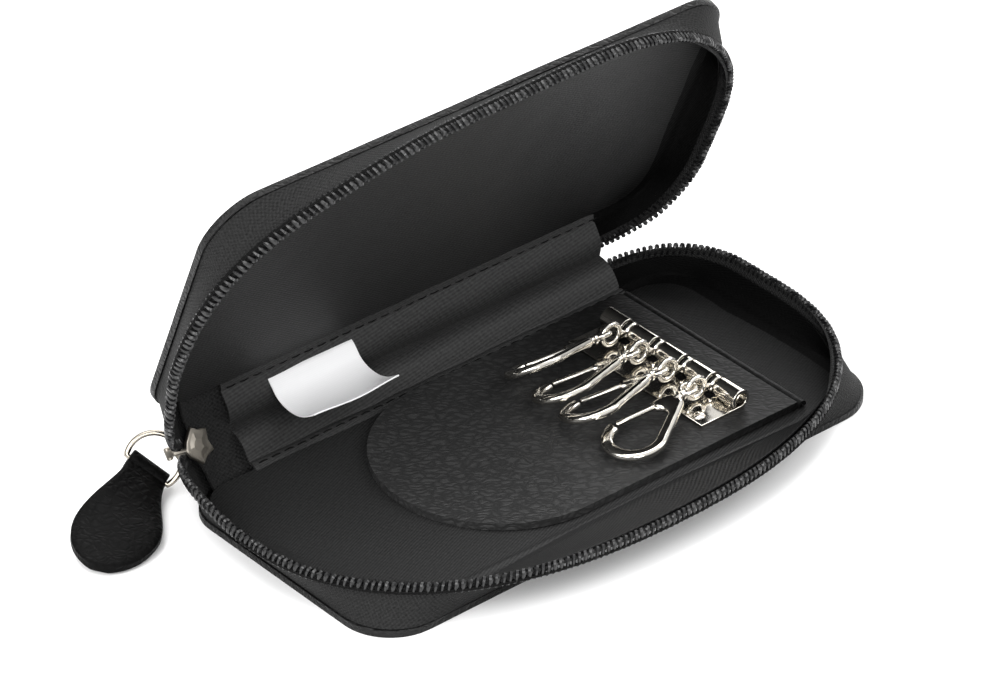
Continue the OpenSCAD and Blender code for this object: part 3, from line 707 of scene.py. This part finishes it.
def outward(s):
    """The direction out of the case, square to the teeth line."""
    d = unit(row_at(s + 0.004) - row_at(s - 0.004))
    return np.array((-d[1], d[0]))


wall_from, wall_to = -web_share, open_end

# the wall's height on its UV map, and how thick its tape and its cloth are
wall_cloth, web_t, wall_cloth_t = 11, 0.45, 0.4
wall_length = length_at(wall_to) - length_at(wall_from)
print("wall length, mm:", round(wall_length, 1))


# %% A wall that climbs from the leather edge to the teeth
def wall(half, from_s, to_s, section):
    """section(t) gives how far the foot lies in from the leather's edge, how far up the point is (0 at
    the floor, 1 at the teeth), how far in the top lies, and how far the foot is lifted."""
    run = length_at(to_s) - length_at(from_s)

    def spot(a, t):
        s = share_at(length_at(from_s) + a * run)
        foot_in, rise, top_in, lift = section(t)
        foot, top = edge_at(s, foot_in), web_top(half, s, top_in, tooth_h)
        low = np.array((foot[0], foot[1], leather_t))
        p = low + (top - low) * rise
        p[2] += lift * (1 - rise)
        return halves[half](*p), (a * run, t * wall_cloth)
    return spot


# how far in and how far up the tape, the cloth's hem and the rest of the cloth lie
tape_foot, tape_up, tape_top, tape_lean, tape_bow = 0.7, 1.125, 0.35, 0.45, 0.5
hem_share, hem_in, hem_run, hem_sink, hem_rise = 0.35, 6.2, 3.8, 0.38, 0.88
cloth_in, cloth_up, cloth_top, cloth_bow, cloth_lift = 2.4, 0.86, 1.45, 0.25, 1.7


def tape_section(t):
    """The tape bows out below and leans in at the top, behind the coil."""
    top_in = tape_top + tape_lean * t ** 4 - tape_bow * math.sin(math.pi * t)
    return tape_foot + 0.3 * t, t * tape_up, top_in, 0.0


def lining_section(t):
    """The hem lies under the floor's cloth and curves up, and the rest of the cloth is the wall."""
    if t < hem_share:
        k = t / hem_share
        return hem_in - hem_run * k, 0.0, 1.2, floor_w - leather_t - hem_sink + hem_rise * k * k
    k = (t - hem_share) / (1 - hem_share)
    return (cloth_in - 0.2 * k, 0.02 + cloth_up * k, cloth_top + cloth_bow * math.sin(math.pi * k),
            cloth_lift * (1 - k) + 0.3)


def bend_into_spine(piece):
    """Bakes the placing of a soft piece at the left rear corner into its points."""
    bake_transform(piece)


for half in halves:
    tape = sheet(half + "_zip_tape", 220, 8, wall(half, wall_from, wall_to, tape_section), thick=web_t)
    dress(tape, zip_cloth, half, [half + "_tape"])
    lining = sheet(half + "_wall_lining", 220, 18, wall(half, wall_from, wall_to, lining_section),
                   thick=wall_cloth_t, bevel=0.1)
    dress(lining, side_twill, half, [half + "_side_lining"])
    corner = sheet(half + "_soft_corner_tape", 60, 14, wall(half, -web_end, wall_from, tape_section),
                   thick=web_t)
    dress(corner, zip_cloth, replaces=[half + "_corner"])
    bend_into_spine(corner)

# %% [markdown]
# ## The coil
# The teeth are one nylon thread wound round and round and pressed flat, a turn each 1.25 mm,
# and sewn to the edge of the tape. So they are drawn as what they are: one long wire that
# winds along the teeth line, its heads just above the tape and its legs on the outside.


# %% Winding a wire along the teeth line
coil_pitch, coil_wire, coil_steps = 1.25, 0.35, 12
coil_side, coil_rise, coil_drop, coil_end_share = 0.52, 1.05, tooth_h, 0.945
leg_swell, head_swell = 0.9, 0.55


def coil(half, from_s, to_s):
    """One winding wire and its thickness, which swells at the heads. Its pitch is even."""
    shares = np.linspace(from_s, to_s, 900)
    run = lengths_along(np.array([web_top(half, s, 0.0, coil_drop) for s in shares]))
    count = int(run[-1] / coil_pitch * coil_steps)
    points, swell = [], []
    for i in range(count + 1):
        s = float(np.interp(run[-1] * i / count, run, shares))
        turn = 2 * math.pi * i / coil_steps
        centre = climb(row_at(s), s, coil_drop)
        out = climb(row_at(s) + outward(s), s, coil_drop) - centre
        lift = climb(row_at(s), s, coil_drop - 1) - centre
        offset = out * coil_side * math.cos(turn) + lift * coil_rise * math.sin(turn)
        points.append(halves[half](*(centre + offset + hang(half, s))))
        swell.append(leg_swell + head_swell * max(0.0, math.sin(turn + 0.2)) ** 2)
    return points, swell


for half in halves:
    line, swell = coil(half, wall_from, 1.0)
    teeth = wire(half + "_nylon_coil", line, coil_wire, swell=swell)
    dress(teeth, nylon, half, [half + "_teeth"])
    line, swell = coil(half, -coil_end_share, wall_from)
    rising = wire(half + "_rising_coil", line, coil_wire, swell=swell)
    dress(rising, nylon, replaces=[half + "_corner_teeth"])
    bend_into_spine(rising)

# %% Two lines of sewing along the coil's legs
sewing_drops, sewing_out, sewing_waver, sewing_r, sewing_points = (1.65, 1.95), 0.68, 0.04, 0.15, 360
for half, place in halves.items():
    lines = []
    for drop in sewing_drops:
        run = []
        for i in range(sewing_points):
            s = share_at(length_at(wall_from) + wall_length * i / (sewing_points - 1))
            q = row_at(s) + outward(s) * (sewing_out + sewing_waver * math.sin(i * 2.4))
            run.append(place(*(np.array((q[0], q[1], row_w - drop)) + hang(half, s))))
        lines.append(wire(half + "_sewing_%d" % len(lines), run, sewing_r))
    sewing = join(half + "_coil_sewing", *lines)
    dress(sewing, thread, half)

# %% [markdown]
# ## The spine
# The leather runs on from one half over the spine to the other, in one piece. It is made here
# as two strips that meet in the middle of the spine, each drawn curved round one fold.
# Inside, two soft bands of lining meet in a crease. What is drawn for the base is mirrored for the
# lid, where the seam alone lies a little nearer to the fold.


# %% Strips that bend round a fold
def mirrored(p):
    """The mirror image of a point in the middle plane between the two halves."""
    p = np.array(p, float)
    return p - 2 * np.dot(p - spine_middle, toward_lid) * toward_lid


def through(points, t):
    """A point of a smooth line through a list of points, t from 0 to 1."""
    n = len(points) - 1
    i = min(n - 1, int(t * n))
    f = t * n - i
    a, b, c, d = (np.array(points[min(n, max(0, i + k))], float) for k in (-1, 0, 1, 2))
    return b + 0.5 * f * (c - a + f * (2 * a - 5 * b + 4 * c - d + f * (3 * (b - c) + d - a)))


def fold_spot(angle, r):
    """A point at r from the base fold's middle, angle from straight down towards the spine."""
    return (fold_y + r * math.sin(angle), fold_r - r * math.cos(angle))


def spine_spot(y, z):
    return in_spine(0, y, z)[1:]


half_skin, skin_lap, band_t, band_rough, strip_cloth = 0.62, 2.9, 0.45, 0.36, 14
skin_line = [(fold_y - skin_lap, fold_r - half_skin), (fold_y - skin_lap + 1.0, fold_r - half_skin - 0.02)]
skin_line += [fold_spot(lean * i / 6, half_skin) for i in range(7)]
skin_line += [spine_spot(spine_w / 2 * i / 4, -half_skin) for i in range(1, 5)]
seam_back = {"base": 3.5, "lid": 2.6}
band_line = [spine_spot(y, z) for y, z in ((0.4, 2.8), (2.2, 2.85), (4.2, 2.7), (6.0, 1.85), (7.1, 0.75),
                                           (7.52, 0.25))]
band_lines = {half: [(fold_y - e - 1.0, 2.4), (fold_y - e, 3.0), (fold_y - e * 0.5 - 1.1, 3.2)] + band_line
              for half, e in seam_back.items()}


def strip(line, long_half, flip, seed, rough):
    def spot(s, t):
        x = (2 * s - 1) * long_half
        y, z = through(line, t)
        p = (x, y, z + ripple(x, t * 12, seed, 9, rough))
        return (mirrored(p) if flip else p), (x, t * (-strip_cloth if flip else strip_cloth))
    return spot


def bend_at_fold(piece, half):
    if half == "lid":
        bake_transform(piece)
    else:
        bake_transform(piece)


for half in halves:
    flip = half == "lid"
    skin = sheet(half + "_side_of_spine_leather", 90, 36, strip(skin_line, spine_x, flip, 3, 0.0),
                 thick=2 * half_skin)
    dress(skin, spine_hide, replaces=["spine_cover", "spine_folds"])
    bend_at_fold(skin, half)
    line = strip(band_lines[half], spine_x - 0.2, flip, 11 + flip, band_rough)
    band = sheet(half + "_side_of_spine_lining", 140, 40, line, thick=band_t)
    dress(band, band_twill, replaces=["spine_lining"])
    bend_at_fold(band, half)

# %% Stitches where the lining is sewn down along the folds
stitch_x, stitch_pitch, stitch_l, stitch_z, stitch_bow, stitch_r = -45, 3.1, 2.0, 3.26, 0.14, 0.13
for half in halves:
    rows = []
    for i in range(30):
        x, y = stitch_x + i * stitch_pitch, fold_y - seam_back[half]
        line = [(x, y, stitch_z), (x + stitch_l / 2, y, stitch_z + stitch_bow), (x + stitch_l, y, stitch_z)]
        if half == "lid":
            line = [mirrored(p) for p in line]
        rows.append(wire(half + "_stitch_%d" % i, line, stitch_r))
    stitches = join(half + "_fold_stitches", *rows)
    dress(stitches, thread, half)

# %% [markdown]
# ## The woven label
# A strip of white satin is sewn into the seam at the lid and curls out over the spine. It is
# bare here. Satin floats its threads over the weave, so it is smooth, with a soft broad shine.

# %% The label
label_x, label_w, label_bow, label_wave = -panel_l * 0.206, 20.5, 0.35, 0.25
label_shares = [(0.93, 0.9), (0.905, 1.6), (0.868, 2.15), (0.763, 2.4), (0.652, 2.55), (0.54, 3.1),
                (0.434, 4.15), (0.349, 5.6), (0.306, 7.15), (0.296, 8.7), (0.297, 10.1)]
label_line = [(spine_w * a, leather_t * b) for a, b in label_shares]
label_l = sum(math.dist(a, b) for a, b in zip(label_line, label_line[1:]))


def label_spot(s, t):
    y, z = through(label_line, t)
    x = label_x + (s - 0.5) * label_w
    z += label_bow * math.sin(math.pi * s) * t
    return in_spine(x, y + label_wave * t * t * math.cos(2 * math.pi * s), z), (s * label_w, t * label_l)


label = sheet("satin_label", 30, 40, label_spot, thick=0.3, bevel=0.08)
dress(label, satin, "spine", ["label"])

# %% [markdown]
# ## The shut end of the zip
# At the left rear corner the zip is shut: both coils lie in the middle plane, their heads
# hooked into each other. They hang on the spine's middle, so they stay there as the case opens.

# %% Two coils hooked together round the corner
chain_x, chain_v, chain_r = -(row_a - row_r), row_rear_u + row_r, row_r - tape_t / 2
chain_end, chain_aside, chain_wide, chain_out = 2.3, 1.1, 1.2, 0.7
chain_run = chain_end + chain_r * math.radians(11)
tape_half, tape_back, tape_run = 9.0, 1.2, chain_end + chain_r * math.radians(30)
tape_in, tape_curve = 1.2, 0.011


def chain_spot(run, out, across):
    """run goes from the spine's end to the slider, out of the case is out, across to the lid."""
    a = math.radians(90) - max(0.0, run - chain_end) / chain_r
    r = chain_r + out
    return in_spine(chain_x + max(0.0, chain_end - run) - r * math.cos(a), spine_w / 2 + across,
                    chain_v - r * math.sin(a))


chain_parts = []
for side in (-1, 1):
    count = int(chain_run / coil_pitch * coil_steps)
    points = []
    for i in range(count + 1):
        turn = 2 * math.pi * (i / coil_steps + 0.25 * side)
        across = side * (chain_aside + chain_wide * math.sin(turn))
        points.append(chain_spot(chain_run * i / count, chain_out * math.cos(turn), across))
    chain_parts.append(wire("chain_%d" % side, points, coil_wire * 0.95))
chain = join("shut_nylon_chain", *chain_parts)
dress(chain, nylon, "spine", ["closed_chain"])


def chain_tape_spot(s, t):
    """The tape behind the shut coils bows into the case on both sides."""
    across, run = (2 * s - 1) * tape_half, -tape_back + t * (tape_run + tape_back)
    low = -tape_in - tape_curve * across * across + ripple(across, run, 2, 3.0, 0.3)
    p = np.array(chain_spot(max(0.0, run), low, across))
    p[0] -= min(0.0, run)
    return p, (across, run)


chain_tape = sheet("shut_zip_tape", 40, 40, chain_tape_spot, thick=0.4)
dress(chain_tape, zip_cloth, "spine", ["chain_cord"])

# %% [markdown]
# ## The slider, its ring and the leather pull
# The slider is cast zinc, nickel plated: a faceted shield inside the case, a plate outside, a
# nose between them that parts the coils, and a lug that holds the ring. The ring is bent wire,
# and the pull is two pebbled leathers bonded back to back round the ring's straight side.


# %% The slider's frame
slider_l, slider_w, slider_turn, ring_d = 8.6, 7.4, 64.0, 11.6
gap_in, gap_out, plate_t = slider_l * 0.17, slider_l * 0.12, slider_l * 0.075
lug_w, lug_out = slider_l * 0.17, slider_l * 0.6
ring_wire, hole_r = ring_d * 0.05, ring_d * 0.062
ring_hook, ring_r = gap_out + plate_t + hole_r, ring_d / 2 - ring_wire
ring_turn, ring_rest, bar_turn = math.radians(32), math.radians(32), math.radians(65.7)
bar_reach, bar_half = ring_r * math.cos(bar_turn), ring_r * math.sin(bar_turn)


def in_slider(x, y, z):
    """x points out of the case, y along the zip to its open side, z to the base."""
    a, r = math.radians(180 + slider_turn), chain_r + x
    return in_spine(chain_x + r * math.cos(a) + y * math.sin(a), spine_w / 2 - z,
                    chain_v + r * math.sin(a) - y * math.cos(a))


def in_ring(x, y, z):
    """The ring lies in x and y; z is its thickness."""
    c, s = math.cos(ring_turn), math.sin(ring_turn)
    r, a = ring_r + x * c - y * s, ring_rest
    return in_slider(ring_hook + r * math.cos(a) + z * math.sin(a), r * math.sin(a) - z * math.cos(a),
                     x * s + y * c)


def frame_of(place):
    """The matrix of a frame, for a mesh made in metres."""
    o = np.array(place(0, 0, 0))
    columns = [np.array(place(*axis)) - o for axis in ((1, 0, 0), (0, 1, 0), (0, 0, 1))]
    return Matrix([[*(float(c[i]) for c in columns), float(o[i]) * MM] for i in range(3)] + [[0, 0, 0, 1]])


def upright(place, x=0.0):
    """The same frame with a stamped outline's x and y along the zip and across it."""
    return frame_of(lambda a, b, c: place(x + c, a, b))


# %% The slider
shield_shares = [(-0.47, -0.3), (-0.38, 0), (-0.47, 0.3), (-0.14, 0.37), (0.09, 0.5), (0.46, 0.19),
                 (0.53, 0), (0.46, -0.19), (0.09, -0.5), (-0.14, -0.37)]
shield = [(slider_l * a, slider_w * b) for a, b in shield_shares]
inner = stamped("inner", [shield], plate_t * 1.25, 0.3, upright(in_slider, -gap_in - plate_t * 0.6))
bpy.ops.object.select_all(action="DESELECT")
bpy.ops.mesh.primitive_cone_add(vertices=len(shield), radius1=1, radius2=0.5, depth=1, end_fill_type="NGON")
boss = bpy.context.object
# how deep the boss's foot and its top lie, their size beside the shield's, and how far along they are
boss_foot, boss_top = (1.1, 0.84, 0.0), (1.55, 0.36, 0.6)
for v in boss.data.vertices:
    i = round(math.atan2(v.co.x, v.co.y) / (2 * math.pi) * len(shield)) % len(shield)
    depth, size, along = boss_foot if v.co.z < 0 else boss_top
    y, z = np.array(shield[i]) * size
    v.co = Vector(in_slider(-gap_in - plate_t * depth, y + along, z)) * MM
tidy(boss, 8)
outer = stamped("outer", [[(x * 0.8, y * 0.8) for x, y in shield]], plate_t, 0.22,
                upright(in_slider, gap_out + plate_t / 2))
nose_end = 0.3
nose = turned("nose", [(0.0, -gap_in - nose_end), (0.75, -gap_in - nose_end), (0.62, 0.0),
                       (0.75, gap_out + nose_end), (0.0, gap_out + nose_end)],
              frame_of(lambda a, b, c: in_slider(c, slider_l * 0.36 + a, b)))
bar_r, bar_round, t_half = 0.66, 0.2, lug_w * 0.85
lug_half = [(gap_out + 0.1, 0.9), (1.7, 1.05), (ring_hook, 1.25), (3.1, 1.05), (3.6, 0.74), (4.2, bar_r),
            (lug_out, bar_r)]
lug_line = lug_half + [(x, -y) for x, y in reversed(lug_half)]
hole = [(ring_hook + hole_r * math.cos(a), hole_r * math.sin(a))
        for a in np.linspace(0, 2 * math.pi, 25)[:-1]]
lug = stamped("lug", [lug_line, hole], lug_w, 0.22, frame_of(in_slider))
t_bar = turned("t_bar", [(0, -t_half), (0.45, -t_half), (bar_r, bar_round - t_half),
                         (bar_r, t_half - bar_round), (0.45, t_half), (0, t_half)],
               frame_of(lambda a, b, c: in_slider(lug_out + a, b, c)))
slider = join("cast_slider", inner, boss, outer, nose, lug, t_bar)
dress(slider, cast_nickel, "slider", ["slider"])

# %% The ring
arc_points = [(ring_r * math.cos(a), ring_r * math.sin(a))
              for a in np.linspace(bar_turn, 2 * math.pi - bar_turn, 49)]
ring_line = [in_ring(x, y, 0) for x, y in arc_points]
ring_line += [in_ring(bar_reach, y, 0) for y in np.linspace(-bar_half, bar_half, 9)[1:-1]]
ring = wire("pull_ring_wire", ring_line, ring_wire, cyclic=True, round_=4)
dress(ring, ring_nickel_painted_shade, "pull_ring", ["pull_ring"])

# %% The leather pull
pull_l, pull_w, pull_t, loop_out = 29.0, 16.8, leather_t * 1.6, leather_t * 1.28
bar_mid = np.array(in_ring(bar_reach, 0, 0))
bar_way = np.array(in_ring(bar_reach, 1, 0)) - bar_mid
pull_way = unit(np.array((-0.821, -0.561, -0.093)))
flat_way = unit(np.array((0.482, -0.876, -0.12)))

# the rows of its grid, how square its section is, and the groove round its edge
pull_rows, side_power, face_power, groove_h, groove_power, pull_wave = 60, 0.28, 0.6, 0.14, 5, 0.18


def pull_half(t):
    """Half of the pull's width: narrow at the bar, then a round drop."""
    if t < 0.6:
        return pull_w * (0.26 + 0.24 * smooth(t / 0.62))
    return pull_w / 2 * math.sqrt(max(0.0, 1 - ((t - 0.6) / 0.4) ** 2))


def pull_spot(a, b):
    """a runs round the section, b from the bar to the round end; the first row closes the end."""
    t = 1 - (1 - max(0.0, b - 1 / pull_rows) * pull_rows / (pull_rows - 1)) ** 1.6
    k = smooth(t / 0.7)
    side = (1 - k) * bar_way + k * flat_way
    side = unit(side - np.dot(side, pull_way) * pull_way)
    face = np.cross(pull_way, side)
    turn = 2 * math.pi * a
    wide = 0.0 if b in (0, 1) else pull_half(t)
    c, s = math.cos(turn), math.sin(turn)
    thick = pull_t / 2 * min(1.0, (wide / 2.2) ** 0.5)
    x = wide * math.copysign(abs(c) ** side_power, c)
    uneven = ripple(x, t * pull_l, 4, 6, pull_wave) * (1 - abs(c))
    z = thick * math.copysign(abs(s) ** face_power, s) + uneven
    centre = bar_mid + pull_way * (loop_out * 0.9 + t * (pull_l - loop_out))
    groove = groove_h * math.exp(-(s * groove_power) ** 2)
    return centre + side * (x * (1 - groove / max(wide, 1))) + face * z, (x, t * pull_l)


pull = sheet("bonded_leather_pull", 72, pull_rows, pull_spot)
dress(pull, pull_hide, "pull", ["leather_pull"])
loop_in, loop_half = ring_wire * 1.15, bar_half * 0.86
loop_profile = [(loop_in, -loop_half), (loop_out, -loop_half), (loop_out, loop_half), (loop_in, loop_half),
                (loop_in, -loop_half)]
loop = turned("leather_loop", loop_profile, frame_of(lambda a, b, c: in_ring(bar_reach + a, c, b)), 32)
apply(loop, "BEVEL", width=0.3 * MM, segments=3, limit_method="ANGLE")
dress(loop, pull_hide, "pull", ["pull_loop"])

# %% [markdown]
# ## The tongue
# Two leathers bonded back to back, cut with a round tip and burnished, so that its edge is round
# and smooth. Its right end is sewn down beside a narrow welt. Nothing is stamped into it here.

# %% The tongue and its welt
tongue_l, tongue_w, tongue_t = 77.5, 50.4, 1.6
seam_x, tongue_y, tongue_z = panel_l * 0.3545, fold_y - panel_d * 0.49, floor_w
tip_r, tongue_rise, rise_run, tongue_wave = tongue_w / 2, 0.12, 20, 0.14


def tongue_spot(s, t):
    reach = tongue_l * math.sin(math.pi / 2 * t) ** 1.15
    depth = max(0.0, reach - (tongue_l - tip_r))
    half_w = math.sqrt(max(0.0, tip_r ** 2 - depth ** 2))
    x, y = seam_x - reach, tongue_y + half_w * (2 * crowd(s, 0.4) - 1)
    lift = tongue_rise * smooth(reach / rise_run) + ripple(x, y, 9, 24, tongue_wave)
    return (x, y, tongue_z + tongue_t / 2 + lift), (x, y)


tongue = sheet("bonded_leather_tongue", 70, 110, tongue_spot, thick=tongue_t * 0.96, bevel=0.42)
dress(tongue, tongue_hide, "tongue", ["tongue"])


def welt_spot(s, t):
    a = math.pi * t
    wide = tongue_t * 0.65
    return (seam_x + clear + wide * (1 - math.cos(a)), tongue_y + tongue_w * (s - 0.5),
            tongue_z + 0.1 + tongue_t * 0.72 * math.sin(a)), (s * tongue_w, t * 3)


welt = sheet("leather_welt", 60, 14, welt_spot, thick=0.5, side=1.0)
dress(welt, tongue_hide, "base", ["tongue_welt"])

# %% [markdown]
# ## The key rail
# One strip of steel, with slots cut in its edge, is curled round a rod, which makes a row of
# five short barrels. The links hang on the rod in the four slots. Two rivets hold its plate.

# %% The rail's sizes
rail_l, barrel_r, slot_w, sheet_t, rail_n = 38.1, 2.1, 2.3, 0.7, 4
rod_r = barrel_r * 0.52
rail_x, rail_y = seam_x - 2 * barrel_r * 2.33, fold_y - panel_d * 0.507
rail_z = tongue_z + tongue_t + barrel_r
slot_pitch = (rail_l + slot_w) / (rail_n + 1)
barrel_l = slot_pitch - slot_w
sheet_w = 2 * barrel_r * 2.9
rail_low, plate_z = rail_y - rail_l / 2, tongue_z + tongue_t + sheet_t / 2


def slot_y(k):
    """The middle of slot k, counted from the spine."""
    return rail_y + rail_l / 2 - k * slot_pitch + slot_w / 2


def stand(place, *turns):
    """A frame at a place in millimetres, turned about its own axes in order."""
    made = Matrix.Translation(Vector(place) * MM)
    for axis, degrees in turns:
        made = made @ Matrix.Rotation(math.radians(degrees), 4, axis)
    return made


# %% The plate with its curled fingers
curl_r, curl_turn = barrel_r - sheet_t / 2, math.radians(300)
finger_back, finger_end, slot_end = 3.2, 2.9, 2.4 + clear
fingers = []
for i in range(rail_n + 1):
    low = rail_low + i * slot_pitch

    def finger_spot(s, t, low=low):
        run = -finger_back + t * (finger_back + curl_r * curl_turn)
        y = low + s * barrel_l
        if run < 0:
            return (rail_x + run, y, plate_z), (run, y)
        a = run / curl_r
        return (rail_x + curl_r * math.sin(a), y, rail_z - curl_r * math.cos(a)), (run, y)

    fingers.append(sheet("finger_%d" % i, 12, 60, finger_spot, thick=sheet_t, bevel=0.16))
plate_back = rail_x - sheet_w + barrel_r
plate_line = [(plate_back, rail_low), (plate_back, rail_low + rail_l)]
for i in range(rail_n, -1, -1):
    low, high = rail_low + i * slot_pitch, rail_low + i * slot_pitch + barrel_l
    plate_line += [(rail_x - finger_end, high), (rail_x - finger_end, low)]
    if i:
        plate_line += [(rail_x - slot_end, low), (rail_x - slot_end, low - slot_w)]
plate = stamped("plate", [plate_line], sheet_t, 0.15, stand((0, 0, plate_z)))
rail = join("curled_key_rail", plate, *fingers)
dress(rail, rail_nickel, "tongue", ["rail_plate", "rail_barrels"])

# %% The rod and the rivets
rod_half = rail_l / 2 - barrel_l * 0.4
rod = turned("rail_rod_turned", rod_profile(rod_r, rod_half, 0.2),
             stand((rail_x, rail_y, rail_z), ("X", -90)))
dress(rod, nickel, "tongue", ["rail_rod"])
rivet_r, rivet_h, rivet_in = barrel_r * 0.62, 0.42, slot_pitch * 0.36
rivet_x, rivet_z = plate_back - barrel_r + barrel_r * 1.9, plate_z + sheet_t / 2
dome = [(rivet_r * math.cos(a), rivet_h * math.sin(a)) for a in np.linspace(0, math.pi / 2, 9)]
rivets = [turned("rivet_%d" % i, [(0, -0.2), (rivet_r, -0.2)] + dome,
                 stand((rivet_x, rail_low + rivet_in + i * (rail_l - 2 * rivet_in), rivet_z)))
          for i in range(2)]
rivets = join("domed_rivets", *rivets)
dress(rivets, nickel, "tongue", ["rail_rivets"])

# %% [markdown]
# ## Links and snap clips
# Each link has a flat eye on the rod, a short neck and a wire eye that holds its clip. A clip
# is a stamped drop-shaped band with a wire gate, which swings in on a pin when a key is
# pressed against it. All four clips are alike and lie shingled on each other.


# %% The links
link_wire, link_rise = barrel_r * 0.262, 17
eye_hole, eye_out, eye_wide = rod_r + 0.08, barrel_r * 0.95, slot_w * 0.48
loop_r, link_l = barrel_r * 1.02, barrel_r * 2.67


def ring_points(r):
    return [(r * math.cos(a), r * math.sin(a), 0) for a in np.linspace(0, 2 * math.pi, 41)[:-1]]


half_eye = eye_wide / 2
eye_profile = [(eye_hole, -half_eye + 0.12), (eye_hole + 0.12, -half_eye), (eye_out - 0.25, -half_eye),
               (eye_out, -half_eye + 0.25), (eye_out, half_eye - 0.25), (eye_out - 0.25, half_eye),
               (eye_hole + 0.12, half_eye), (eye_hole, half_eye - 0.12), (eye_hole, -half_eye + 0.12)]
for k in range(1, 5):
    at_rod = stand((rail_x, slot_y(k), rail_z), ("Y", link_rise))
    at_loop = at_rod @ stand((-link_l, 0, 0), ("X", 90))
    neck = [(0.5, eye_out - 0.35), (link_wire * 1.15, eye_out + 0.15),
            (link_wire, (eye_out + link_l - loop_r) / 2), (link_wire * 1.2, link_l - loop_r)]
    parts = [turned("eye", eye_profile, at_rod @ stand((0, 0, 0), ("X", 90)), 32),
             wire("loop", ring_points(loop_r), link_wire, True, 4, at_loop),
             turned("neck", neck, at_rod @ stand((0, 0, 0), ("Y", -90)))]
    link = join("swivel_link_%d" % k, *parts)
    dress(link, nickel, "link_%d" % k, ["link_%d" % k])

# %% The clip's outline
clip_l, clip_w, clip_t = 23.5, 13.0, 1.6
neck_r, neck_wire, swivel_r, head_x = clip_l * 0.064, clip_l * 0.0213, clip_l * 0.043, clip_l * 0.13
nose_r, heel_r, band = clip_w / 2, clip_w * 0.154, clip_w * 0.15
broad, web_r = band * 1.25, heel_r * 1.3
nose_x, heel_x = clip_l - nose_r, head_x + heel_r
band_turn = math.degrees(math.asin((nose_r - heel_r) / (nose_x - heel_x)))
hinge = (-heel_x - heel_r * 0.75, clip_w * 0.145)
gate_l, gate_r = clip_l * 0.42, clip_t * 0.31


def drop(a, xa, b, xb):
    """Two circles joined by their tangents, from the heel's upper side round the nose."""
    t = math.asin((a - b) / (xa - xb))
    nose_arc = [(-xa + a * math.cos(q), a * math.sin(q))
                for q in np.linspace(math.pi / 2 - t, 1.5 * math.pi + t, 49)]
    heel_arc = [(-xb + b * math.cos(q), b * math.sin(q))
                for q in np.linspace(-math.pi / 2 + t, math.pi / 2 - t, 17)]
    upper = [tuple(np.array(heel_arc[-1]) + (np.array(nose_arc[0]) - heel_arc[-1]) * f)
             for f in np.linspace(0, 1, 61)[1:-1]]
    return upper + nose_arc + heel_arc


def open_side(line):
    """The outline without the stretch that the gate closes."""
    c, s = math.cos(math.radians(180 - band_turn)), math.sin(math.radians(180 - band_turn))
    kept, gap_at = [], 0
    for x, y in line:
        along = (x - hinge[0]) * c + (y - hinge[1]) * s
        if y > 0 and band * 0.72 < along < gate_l:
            gap_at = len(kept)
        else:
            kept.append((float(x), float(y)))
    return kept[gap_at:] + kept[:gap_at]


outer_line = open_side(drop(nose_r, nose_x, web_r, heel_x + web_r - heel_r))
inner_line = open_side(drop(nose_r - broad, nose_x, heel_r * 0.8, heel_x + heel_r * 2.1))
clip_line = outer_line + inner_line[::-1]

# %% The clips and their gates
clip_tilt, clip_dip, clip_turn = (34, 25, 22, 3), (2, -2.5, -3, -7), (0, 0, 0, 12)
link_end = link_l + loop_r
post = [(0, neck_r - 0.1), (swivel_r * 0.8, neck_r - 0.1), (swivel_r * 0.72, neck_r + 0.4),
        (swivel_r * 1.12, neck_r + 0.6), (swivel_r * 1.12, neck_r + 1.0), (swivel_r * 0.8, neck_r + 1.2),
        (swivel_r * 0.95, head_x + heel_r * 0.5), (0, head_x + heel_r * 0.5)]
for k in range(1, 5):
    spot = (rail_x - link_end * math.cos(math.radians(link_rise)), slot_y(k),
            rail_z + link_end * math.sin(math.radians(link_rise)))
    lies = stand(spot, ("Z", clip_turn[k - 1]), ("Y", clip_dip[k - 1]), ("X", -clip_tilt[k - 1]))
    at_hinge = lies @ stand((*hinge, 0)) @ stand((0, 0, 0), ("Z", 180 - band_turn))
    parts = [stamped("band", [clip_line], clip_t, 0.76, lies),
             wire("neck_ring", ring_points(neck_r), neck_wire, True, 4, lies),
             turned("post", post, lies @ stand((0, 0, 0), ("Y", -90))),
             turned("pin", rod_profile(0.4, clip_t * 0.47, 0.1), at_hinge)]
    clip = join("stamped_snap_clip_%d" % k, *parts)
    dress(clip, nickel, "clip_%d" % k, ["clip_%d" % k])
    half_gate = clip_t / 4
    gate_eye = [(0.45, -half_gate), (band * 0.5 - 0.12, -half_gate), (band * 0.5, 0.12 - half_gate),
                (band * 0.5, half_gate - 0.12), (band * 0.5 - 0.12, half_gate), (0.45, half_gate),
                (0.45, -half_gate)]
    rod_end = gate_l - clear
    bar = [(0, 0.5), (gate_r, 0.5), (gate_r, rod_end - 0.25), (gate_r * 0.6, rod_end), (0, rod_end)]
    gate = join("wire_gate_%d" % k, turned("gate_eye", gate_eye, at_hinge),
                turned("gate_bar", bar, at_hinge @ stand((0, 0, 0), ("Y", 90)), 16))
    dress(gate, nickel, "gate_%d" % k, ["gate_%d" % k])
